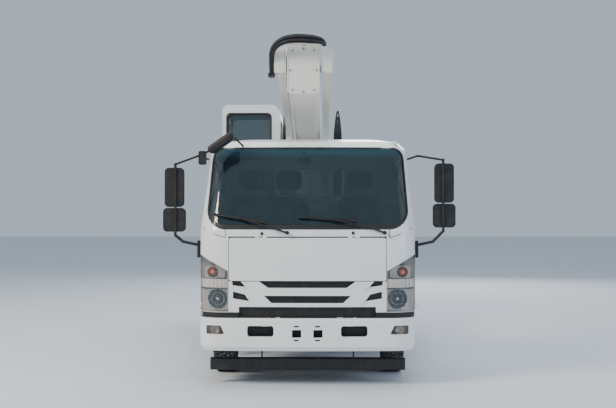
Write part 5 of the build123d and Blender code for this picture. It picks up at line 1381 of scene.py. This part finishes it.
@dataclass
class FrontPanels:
    """Dark panels behind the grille's slots and above the bumper, and the bumper's own parts.

    A middle slot is its half width at the top and at the bottom, and the heights of both.
    """

    middle_slots: tuple[tuple[float, ...], ...] = ((456, 364, 974, 907), (402, 332, 834, 767))
    side_slots: tuple[tuple[Flat, ...], ...] = (
        ((575, 914), (693, 930), (699, 974), (618, 974)),
        ((535, 784), (689, 808), (689, 873), (580, 846)),
    )
    ridges: tuple[tuple[Flat, ...], ...] = (
        ((616, 965), (603, 965), (532, 889), (541, 889)),
        ((580, 848), (567, 848), (488, 754), (498, 754)),
    )
    fog_lamp: Flat = (848, 523)
    backing_inset: float = 31.0
    bar: Point = (4.0, 6.0, 66.0)
    bar_rows: Flat = (800, 931)
    bar_pitch: float = 23.0
    bars_beside: int = 19

    def grille(self) -> None:
        """The painted panel with its slots, ridges beside them and what shows behind."""
        backing = Shape().drape(oblong(-724, 724, 636, 964), self.backing_inset, 60, 2)
        backing.piece("grille_backing", BLACK_PLASTIC, "chassis", "black_plastic")
        holes = [oblong(-634, 634, 600, 731)]
        for wide, narrow, top, low in self.middle_slots:
            holes.append([(-wide, top), (-narrow, low), (narrow, low), (wide, top)])
        holes += [mirrored(slot, s) for s in SIDES for slot in self.side_slots]
        panel = Shape().drape(oblong(-732, 732, 676, 966), 4.0, 60, 24, tuple(holes))
        panel.piece("grille_panel", CAB_PAINT, "chassis", "cab_paint", 1.5, replaces=("grille",))
        raised = Shape()
        for s in SIDES:
            for ridge in self.ridges:
                raised.drape(mirrored(ridge, s), -4.0, 30, 9)
        raised.piece("grille_slot_ridges", CAB_PAINT, "chassis", "cab_paint", 1.5)
        bars = Repeater(Unit.BLOCK, self.bar)
        for z in self.bar_rows:
            for n in range(-self.bars_beside, self.bars_beside + 1):
                bars.add(CAB.front(n * self.bar_pitch, z, self.backing_inset), (0, 0, 1))
        bars.piece("grille_bars", BLACK_PLASTIC, "chassis", "black_plastic")

    def gap_panel(self) -> None:
        """The black panel between grille and bumper, and the dark box behind the bumper."""
        shape = Shape().drape(oblong(-640, 640, 634, 736), 29.0, 60, 5)
        for s in SIDES:
            shape.drape(mirrored(oblong(633, 1004, 634, 680), s), -2.0, 24, 36)
        shape.piece("bumper_gap_panel", BLACK_PLASTIC, "chassis", "black_plastic")
        box = Shape().box((0, FRONT + 118, 515), (1180, 8, 160))
        box.piece("bumper_backing", BLACK_PLASTIC, "chassis", "black_plastic")

    def fog_lamps(self) -> None:
        """Two fog lamps in the bumper's corners, and the dark pockets that hold them."""
        x, z = self.fog_lamp
        bowl = [(0.0, 40.0), (-3.0, 38.0), *dish(0, 30, 38, range(6, 0, -1)),
                *dish(4, 30, 41, range(1, 7))]
        bowls = Shape()
        pockets = Shape()
        for s in SIDES:
            bowls.lathe(bowl, (s * x, FRONT + 66, z), (s * 0.25, 1, 0), 28, closed=True)
            pockets.box((s * (x - 2), FRONT + 165, z), (176, 70, 104))
        bowls.piece("fog_lamp_bowls", LAMP_SILVER, "chassis", "lamp", angle=40)
        pockets.piece("fog_lamp_pockets", LAMP_BACK, "chassis", "black_plastic", 3)

    def bolt_holes(self) -> None:
        """Dark slots above and below the bumper's square openings."""
        heads = Repeater(Unit.BLOCK, (44.0, 13.0, 3.0))
        for x in (-101, 94):
            for z in (558, 431):
                heads.add(face_at("front_bumper", (x, FRONT - 300, z), (0, 1, 0)), (0, -1, 0))
        heads.piece("bumper_screws", BLACK_PLASTIC, "chassis", "black_plastic")

    def build(self) -> None:
        """Makes the panels."""
        self.grille()
        self.gap_panel()
        self.fog_lamps()
        self.bolt_holes()


@dataclass
class Mirrors:
    """The silvered glasses of the outside mirrors.

    A column is its side, its place across and how far it is lifted; a head is the height of its
    middle, its width and its height.
    """

    y: float = FRONT + 361
    rim: float = 16.0
    columns: tuple[Point, ...] = ((-1, 1262, 0), (1, 1288, 40))
    heads: tuple[Point, ...] = ((1842, 186, 372), (1535, 216, 226))

    def build(self) -> None:
        """A glass in the rear face of each mirror's shell."""
        shape = Shape()
        for s, x, lift in self.columns:
            for z, width, height in self.heads:
                w, h = width / 2 - self.rim, height / 2 - self.rim
                cx, cz = s * x, z + lift
                outline = oblong(cx - w, cx + w, cz - h, cz + h, 28)
                shape.prism([(a, self.y, b) for a, b in outline], (0, 3, 0))
        shape.piece("mirror_glasses", MIRROR, "chassis", "glass")


@dataclass
class SmallLamps:
    """Roof and side markers, and the lenses of the rear lamps.

    A ray down from the roof's point seats the marker on the roof.
    """

    roof: Point = (840, FRONT + 600, 2700)
    side: Point = (1008, FRONT + 338, 728)
    rear_face: float = 2756.0
    rear_x: float = 860.0
    rear_low: float = 592.0
    rear_top: float = 688.0

    def markers(self) -> None:
        """Clear domes at the roof's corners and on the cab's sides."""
        shape = Shape()
        for s in SIDES:
            top = face_at("cab_shell", (s * self.roof[0], *self.roof[1:]), (0, 0, -1))
            shape.lathe([(-8, 30), (14, 28), (30, 20), (40, 3)], top, (s * 0.2, -0.3, 1), 20)
            shape.lathe([(-2, 30), (10, 28), (22, 21), (30, 10), (32, 2)],
                        (s * self.side[0], *self.side[1:]), (s, 0, 0))
        shape.piece("marker_lamps", WHITE_LENS, "chassis", "lamp", angle=60)

    def rear(self) -> None:
        """Red, amber and white lenses side by side on each rear housing."""
        for word, finish, offset, width in (("red", RED_LENS, 110.0, 96.0),
                                            ("amber", AMBER_LENS, 2.0, 96.0),
                                            ("white", WHITE_LENS, -104.0, 90.0)):
            shape = Shape()
            for s in SIDES:
                cx = s * (self.rear_x + offset)
                outline = oblong(cx - width / 2, cx + width / 2, self.rear_low, self.rear_top, 12)
                shape.prism([(x, self.rear_face, z) for x, z in outline], (0, 9, 0))
            shape.piece(f"rear_{word}_lenses", finish, "chassis", "red_lamp", 3)

    def build(self) -> None:
        """Makes all the small lamps."""
        self.markers()
        self.rear()


# Lift


@dataclass
class BoomRoot:
    """The bolted cover on the boom's end and the stiffener under the root."""

    top: float = 184.0
    bottom: float = -292.0
    half: float = 157.0
    face: float = -20.0
    screws: tuple[Flat, ...] = ((-106, 138), (0, 154), (106, 138), (-130, -59), (130, -59),
                                (-106, -254), (0, -270), (106, -254))

    def outline(self, inset: float) -> list[Flat]:
        """The cover's outline, drawn in by the inset."""
        h, t, b = self.half - inset, self.top - inset, self.bottom + inset
        return arc_corners([(-h, t), (-h, b), (h, b), (h, t)], [16, 44 - inset, 44 - inset, 16], 6)

    def build(self) -> None:
        """The cover with its raised rim, its eight screws and the stiffener."""
        back, face = -12.0, self.face
        rows = ((0, back), (0, face - 4), (2, face - 6), (9, face - 6), (12, face), (60, face))
        Shape().skin([[boom_point(along, v, u) for u, v in self.outline(inset)]
                      for inset, along in rows]).piece(
            "boom_end_cover", BOOM_PAINT, "boom_outer", "boom_paint", angle=25)
        heads = Repeater(Unit.HEAD, (19.0, 19.0, 9.0))
        for u, v in self.screws:
            heads.add(boom_point(face - 3, v, u),
                      (0.0, -math.cos(BOOM_SLOPE), math.sin(BOOM_SLOPE)))
        heads.piece("boom_cover_screws", STEEL, "boom_outer", "boom_paint")
        rings = []
        for along, low in ((back, -284.0), (120.0, -284.0), (900.0, -179.0)):
            side = min(-131.0, low + 46)
            section = [(-154, -130), (-154, side), (-108, low), (108, low), (154, side),
                       (154, -130)]
            rings.append([boom_point(along, v, u) for u, v in section])
        Shape().skin(rings).piece("boom_root_stiffener", BOOM_PAINT, "boom_outer", "boom_paint", 3)


@dataclass
class Hoses:
    """The bundle over the knuckle and the loops beside the turret.

    A spread says how far apart the bundle's hoses lie at each of its points, and a place where
    one of them lies across it.
    """

    over: tuple[Point, ...] = (
        (152, -3160, 3214), (152, -3204, 3250), (118, -3284, 3266), (46, -3336, 3270),
        (-45, -3344, 3276), (-136, -3344, 3276), (-225, -3336, 3262), (-300, -3300, 3226),
        (-346, -3250, 3165), (-356, -3195, 3095), (-359, -3150, 3025), (-359, -3120, 2968),
    )
    spreads: tuple[float, ...] = (0.45, 0.6, 1.0, 1.35, 1.4, 1.4, 1.25, 1.0, 0.75, 0.6, 0.5, 0.45)
    places: tuple[Flat, ...] = ((0, 0), (24, 4), (-24, -3), (12, 22), (-12, 21), (11, -22),
                                (-13, -21))
    steps: int = 5
    radius: float = 11.5
    loops: int = 4
    loop_radius: float = 10.0

    def knuckle(self) -> None:
        """Seven pressure hoses, close together at both ends, and the sleeve that clamps them."""
        points = [Vector(p) for p in smooth_path(list(self.over), self.steps)]
        spread = [a + (b - a) * k / self.steps for a, b in zip(self.spreads, self.spreads[1:])
                  for k in range(self.steps)] + [self.spreads[-1]]
        bundle = Shape()
        for a, b in self.places:
            line = []
            for at, run, share in zip(points, directions(points), spread):
                across = run.cross(Vector((0, 1, 0))).normalized()
                line.append(tuple(at + share * (a * across + b * run.cross(across))))
            bundle.tube(line, self.radius, 10)
        bundle.piece("knuckle_hose_bundle", HOSE_RUBBER, "knuckle", "rubber_hose", angle=60,
                     replaces=("knuckle_hoses",))
        sleeve = Shape().box((self.over[-1][0], self.over[-1][1], 2950), (72, 68, 48))
        sleeve.piece("hose_clamp_sleeve", BLACK_PLASTIC, "knuckle", "rubber_hose", 8)

    def turret(self) -> None:
        """Hoses that rise from the manifolds beside the riser's feet and turn down to them."""
        shape = Shape()
        for n in range(self.loops):
            gap, step = 26 * n, 13 * n
            left = [(-371, 866 + 0.3 * gap, 1236), (-376, 760 + 0.5 * gap, 1600),
                    (-378, 640 + gap, 2500), (-376, 660 + gap, 2780), (-372, 740, 2880 - 30 * n),
                    (-366, 850 - gap, 2760), (-362, 880 - gap, 2300),
                    (-349, 904 - 0.3 * gap, 1236)]
            right = [(292 + step, 890, 1188), (293 + step, 850, 1500), (294 + step, 750, 2500),
                     (310 + step * 0.8, 750, 2790 - 2 * gap), (341, 750, 2960 - 3 * gap),
                     (372 - step * 0.8, 750, 2790 - 2 * gap), (388 - step, 760, 2500),
                     (389 - step, 860, 1500), (390 - step, 960, 1188)]
            for path in (left, right):
                shape.tube(smooth_path(path), self.loop_radius, 10)
        shape.piece("turret_hoses", HOSE_RUBBER, "turret", "rubber_hose", angle=60)
        block = Shape().box((341, 925, 1206), (136, 116, 36)).box((-360, 885, 1253), (58, 78, 32))
        block.piece("hose_manifolds", STEEL, "turret", "steel", 4)

    def build(self) -> None:
        """Makes all the hoses."""
        self.knuckle()
        self.turret()


@dataclass
class CabinSeal:
    """The rubber round the operator's windscreen."""

    low: Flat = (-1128.0, 1760.0)
    high: Flat = (-541.0, 2915.0)
    face: float = 600.0

    def build(self) -> None:
        """A lip that stands a little proud of the cabin's front."""
        (x0, z0), (x1, z1) = self.low, self.high
        rings = []
        for grow, radius, back in ((9, 58, -1), (6, 58, -6), (-14, 84, -6), (-18, 86, -1),
                                   (-18, 86, 3), (9, 58, 3)):
            outline = oblong(x0 - grow, x1 + grow, z0 - grow, z1 + grow, radius)
            rings.append([(x, self.face + back, z) for x, z in outline])
        Shape().band(rings).piece("cabin_window_seal", SEAL_RUBBER, "turret", "black_plastic",
                                  angle=50)


# Seats


@dataclass
class Cushion:
    """A crowned pad with sewn channels, as its foam and cover make it."""

    centre: Point
    size: Point
    lean: float
    crown: float
    channels: tuple[float, ...] = ()
    channel_width: float = 0.035
    channel_depth: float = 7.0
    power: float = 5.0
    cuts: int = 26

    def into(self, shape: Shape) -> None:
        """Adds the pad to a shape.

        Args:
            shape: The shape that gets it.
        """
        made = bmesh.new()
        bmesh.ops.create_cube(made, size=2.0)
        bmesh.ops.subdivide_edges(made, edges=made.edges[:], cuts=self.cuts, use_grid_fill=True)
        w, d, h = (c / 2 for c in self.size)
        turn = Matrix.Rotation(math.radians(self.lean), 3, "X")
        for v in made.verts:
            u = v.co.copy()
            big = max(abs(u.x), abs(u.y), abs(u.z))
            total = sum(abs(c) ** self.power for c in u) ** (1 / self.power)
            u *= big / total
            top = max(0.0, u.z)
            lift = self.crown * (1 - u.x ** 2) * (1 - u.y ** 2) * top
            seam = sum(math.exp(-((u.x - c) / self.channel_width) ** 2) for c in self.channels)
            lift -= self.channel_depth * seam * top
            pull = 1 - 0.03 * (1 - u.y ** 2) * abs(u.x) - 0.02 * (1 - u.x ** 2) * abs(u.y)
            at = Vector((u.x * w * pull, u.y * d * pull, u.z * h + lift))
            v.co = turn @ at + Vector(self.centre)
        keep = {v: shape.bm.verts.new(v.co) for v in made.verts}
        for f in made.faces:
            shape.bm.faces.new([keep[v] for v in f.verts])
        made.free()


@dataclass
class CabSeats:
    """The driver's seat and the bench for two.

    A seat is its name, its place across, its width, its seams and the solids it stands for.
    Each part's middle is given by its distance behind the bumper's face and its height.
    """

    places: tuple[tuple, ...] = (("driver", 545, 500, (-0.55, 0.55), ("cab_seats",)),
                                 ("bench", -420, 860, (-0.5, 0.0, 0.5), ()))
    heads: tuple[float, ...] = (545, -220, -620)
    cushion: Flat = (1235, 1238)
    back: Flat = (1563, 1530)
    stand: Flat = (1270, 1082)
    head: Flat = (1605, 1945)
    stalk_gap: float = 60.0

    def build(self) -> None:
        """Cushions, backs and head pads, their stands and stalks."""
        base, pads, stalks = Shape(), Shape(), Shape()
        for word, x, width, seams, replaces in self.places:
            cover = Shape()
            for (y, z), size, lean, crown in ((self.cushion, (width, 540, 124), -3, 20),
                                              (self.back, (width - 16, 500, 100), 78, 16)):
                Cushion((x, FRONT + y, z), size, lean, crown, seams).into(cover)
            made = cover.piece(f"{word}_seat_pads", SEAT_CLOTH, "chassis", "seat", angle=70,
                               replaces=replaces)
            base.box((x, FRONT + self.stand[0], self.stand[1]), (width - 120, 470, 200))
        base.piece("seat_bases", BLACK_PLASTIC, "chassis", "black_plastic", 8)
        y, z = FRONT + self.head[0], self.head[1]
        for x in self.heads:
            Cushion((x, y, z), (285, 200, 88), 84, 8).into(pads)
            for side in (-self.stalk_gap, self.stalk_gap):
                stalks.tube([(x + side, y - 3, z - 175), (x + side, y, z - 75)], 6)
        head_pads = pads.piece("head_pads", SEAT_CLOTH, "chassis", "seat", angle=70)
        stalks.piece("head_pad_stalks", STEEL, "chassis", "seat")


@dataclass
class OperatorSeat:
    """The operator's vinyl seat, with its console and levers to its left."""

    x: float = -863.0
    front: float = 600.0
    floor: float = 1275.6
    base_top: float = 1596.0
    lever_x: float = -538.0

    def build(self) -> None:
        """The pads on their base, the console and three levers."""
        x, y, floor = self.x, self.front, self.floor
        pads = Shape()
        Cushion((x, y + 560, 1650), (452, 440, 104), -2, 14).into(pads)
        Cushion((x, y + 856, 1985), (448, 600, 90), 82, 12, (-0.6, 0.6)).into(pads)
        cover = pads.piece("operator_seat_pads", SEAT_VINYL, "turret", "black_plastic", angle=70,
                           replaces=("operator_seat",))
        base = Shape().box((x, y + 590, (floor + self.base_top) / 2),
                           (296, 376, self.base_top - floor))
        base.piece("operator_seat_base", BLACK_PLASTIC, "turret", "black_plastic", 8)
        side = ((90, floor), (90, 1640), (330, 1780), (420, 1740), (420, floor))
        desk = Shape().prism([(-603, y + back, z) for back, z in side], (130, 0, 0))
        desk.piece("operator_console", CONSOLE_PLASTIC, "turret", "black_plastic", 10)
        levers = Shape()
        for back in (170, 235, 300):
            levers.tube([(self.lever_x, y + back, z) for z in (1660, 1868)], 7)
            levers.lathe([(-20, 6), (-12, 17), (4, 20), (16, 14), (21, 4)],
                         (self.lever_x, y + back, 1884), (0, 0, 1), 20)
        levers.piece("operator_levers", BLACK_PLASTIC, "turret", "black_plastic", angle=60)


# Studio


@dataclass
class Studio:
    """The camera at the photograph's place, a pale floor and soft lights.

    A light is its name, where it hangs, what it faces, its side in metres, its power in watts
    and its colour.
    """

    eye: Point = (145, -13800, 1600)
    lens: float = 63.7
    yaw: float = 0.79
    pitch: float = 0.47
    reach: float = 60.0
    lights: tuple[tuple, ...] = (
        ("key", (-9000, -9500, 9000), (0, -2500, 1500), 4.0, 1500, "#FFF3E0"),
        ("fill", (10000, -9000, 5000), (0, -1000, 1500), 6.0, 450, "#DCE9FF"),
        ("top", (0, 1000, 11000), (0, 0, 1500), 8.0, 500, "#FFFFFF"),
        ("back", (3000, 12000, 6000), (0, 0, 1500), 5.0, 500, "#FFFFFF"),
    )

    def camera(self) -> None:
        """The camera."""
        data = bpy.data.cameras.new("camera")
        data.lens = self.lens
        data.sensor_width = 36.0
        data.clip_end = 200.0
        seen = stand("camera", data)
        seen.location = [c * MM for c in self.eye]
        seen.rotation_euler = (math.radians(90 + self.pitch), 0.0, math.radians(self.yaw))
        bpy.context.scene.camera = seen

    def floor(self) -> None:
        """A pale floor of faintly uneven tone."""
        mesh = bpy.data.meshes.new("floor")
        corners = oblong(-self.reach, self.reach, -self.reach, self.reach)
        mesh.from_pydata([(x, y, 0) for x, y in corners], [], [(0, 1, 2, 3)])
        mesh.materials.append(Plastic("pale_floor", "#D9DEE3", 0.8, grain_mm=6, depth_mm=0.2,
                                      dust="#C3CAD2", dust_share=0.5).material())
        stand("floor", mesh)

    def world(self) -> None:
        """A pale sky-like surround."""
        sky = bpy.data.worlds.new("surround")
        sky.use_nodes = True
        fill(sky.node_tree, sky.node_tree.nodes["Background"],
             {"Color": linear("#CBDCEC"), "Strength": 0.75})
        bpy.context.scene.world = sky

    def build(self) -> None:
        """Sets up the studio with its square lights."""
        self.camera()
        self.floor()
        self.world()
        for name, at, aim, size, watts, colour in self.lights:
            data = bpy.data.lights.new(name, "AREA")
            data.size = size
            data.energy = watts
            data.color = linear(colour)[:3]
            lamp = stand(name, data)
            lamp.location = [c * MM for c in at]
            lamp.rotation_euler = (Vector(aim) - Vector(at)).to_track_quat("-Z", "Y").to_euler()


def main() -> None:
    """Builds the studio and every sub-assembly in order."""
    logging.basicConfig(level=logging.INFO, format="%(message)s")
    Studio().build()
    dress_nodes()
    for assembly in (Wheels(), Screen(), *(Headlamp(s, word) for s, word in HANDS), FrontPanels(),
                     Mirrors(), SmallLamps(), BoomRoot(), Hoses(), CabinSeal(), CabSeats(),
                     OperatorSeat()):
        assembly.build()


if __name__ == "__main__":
    main()
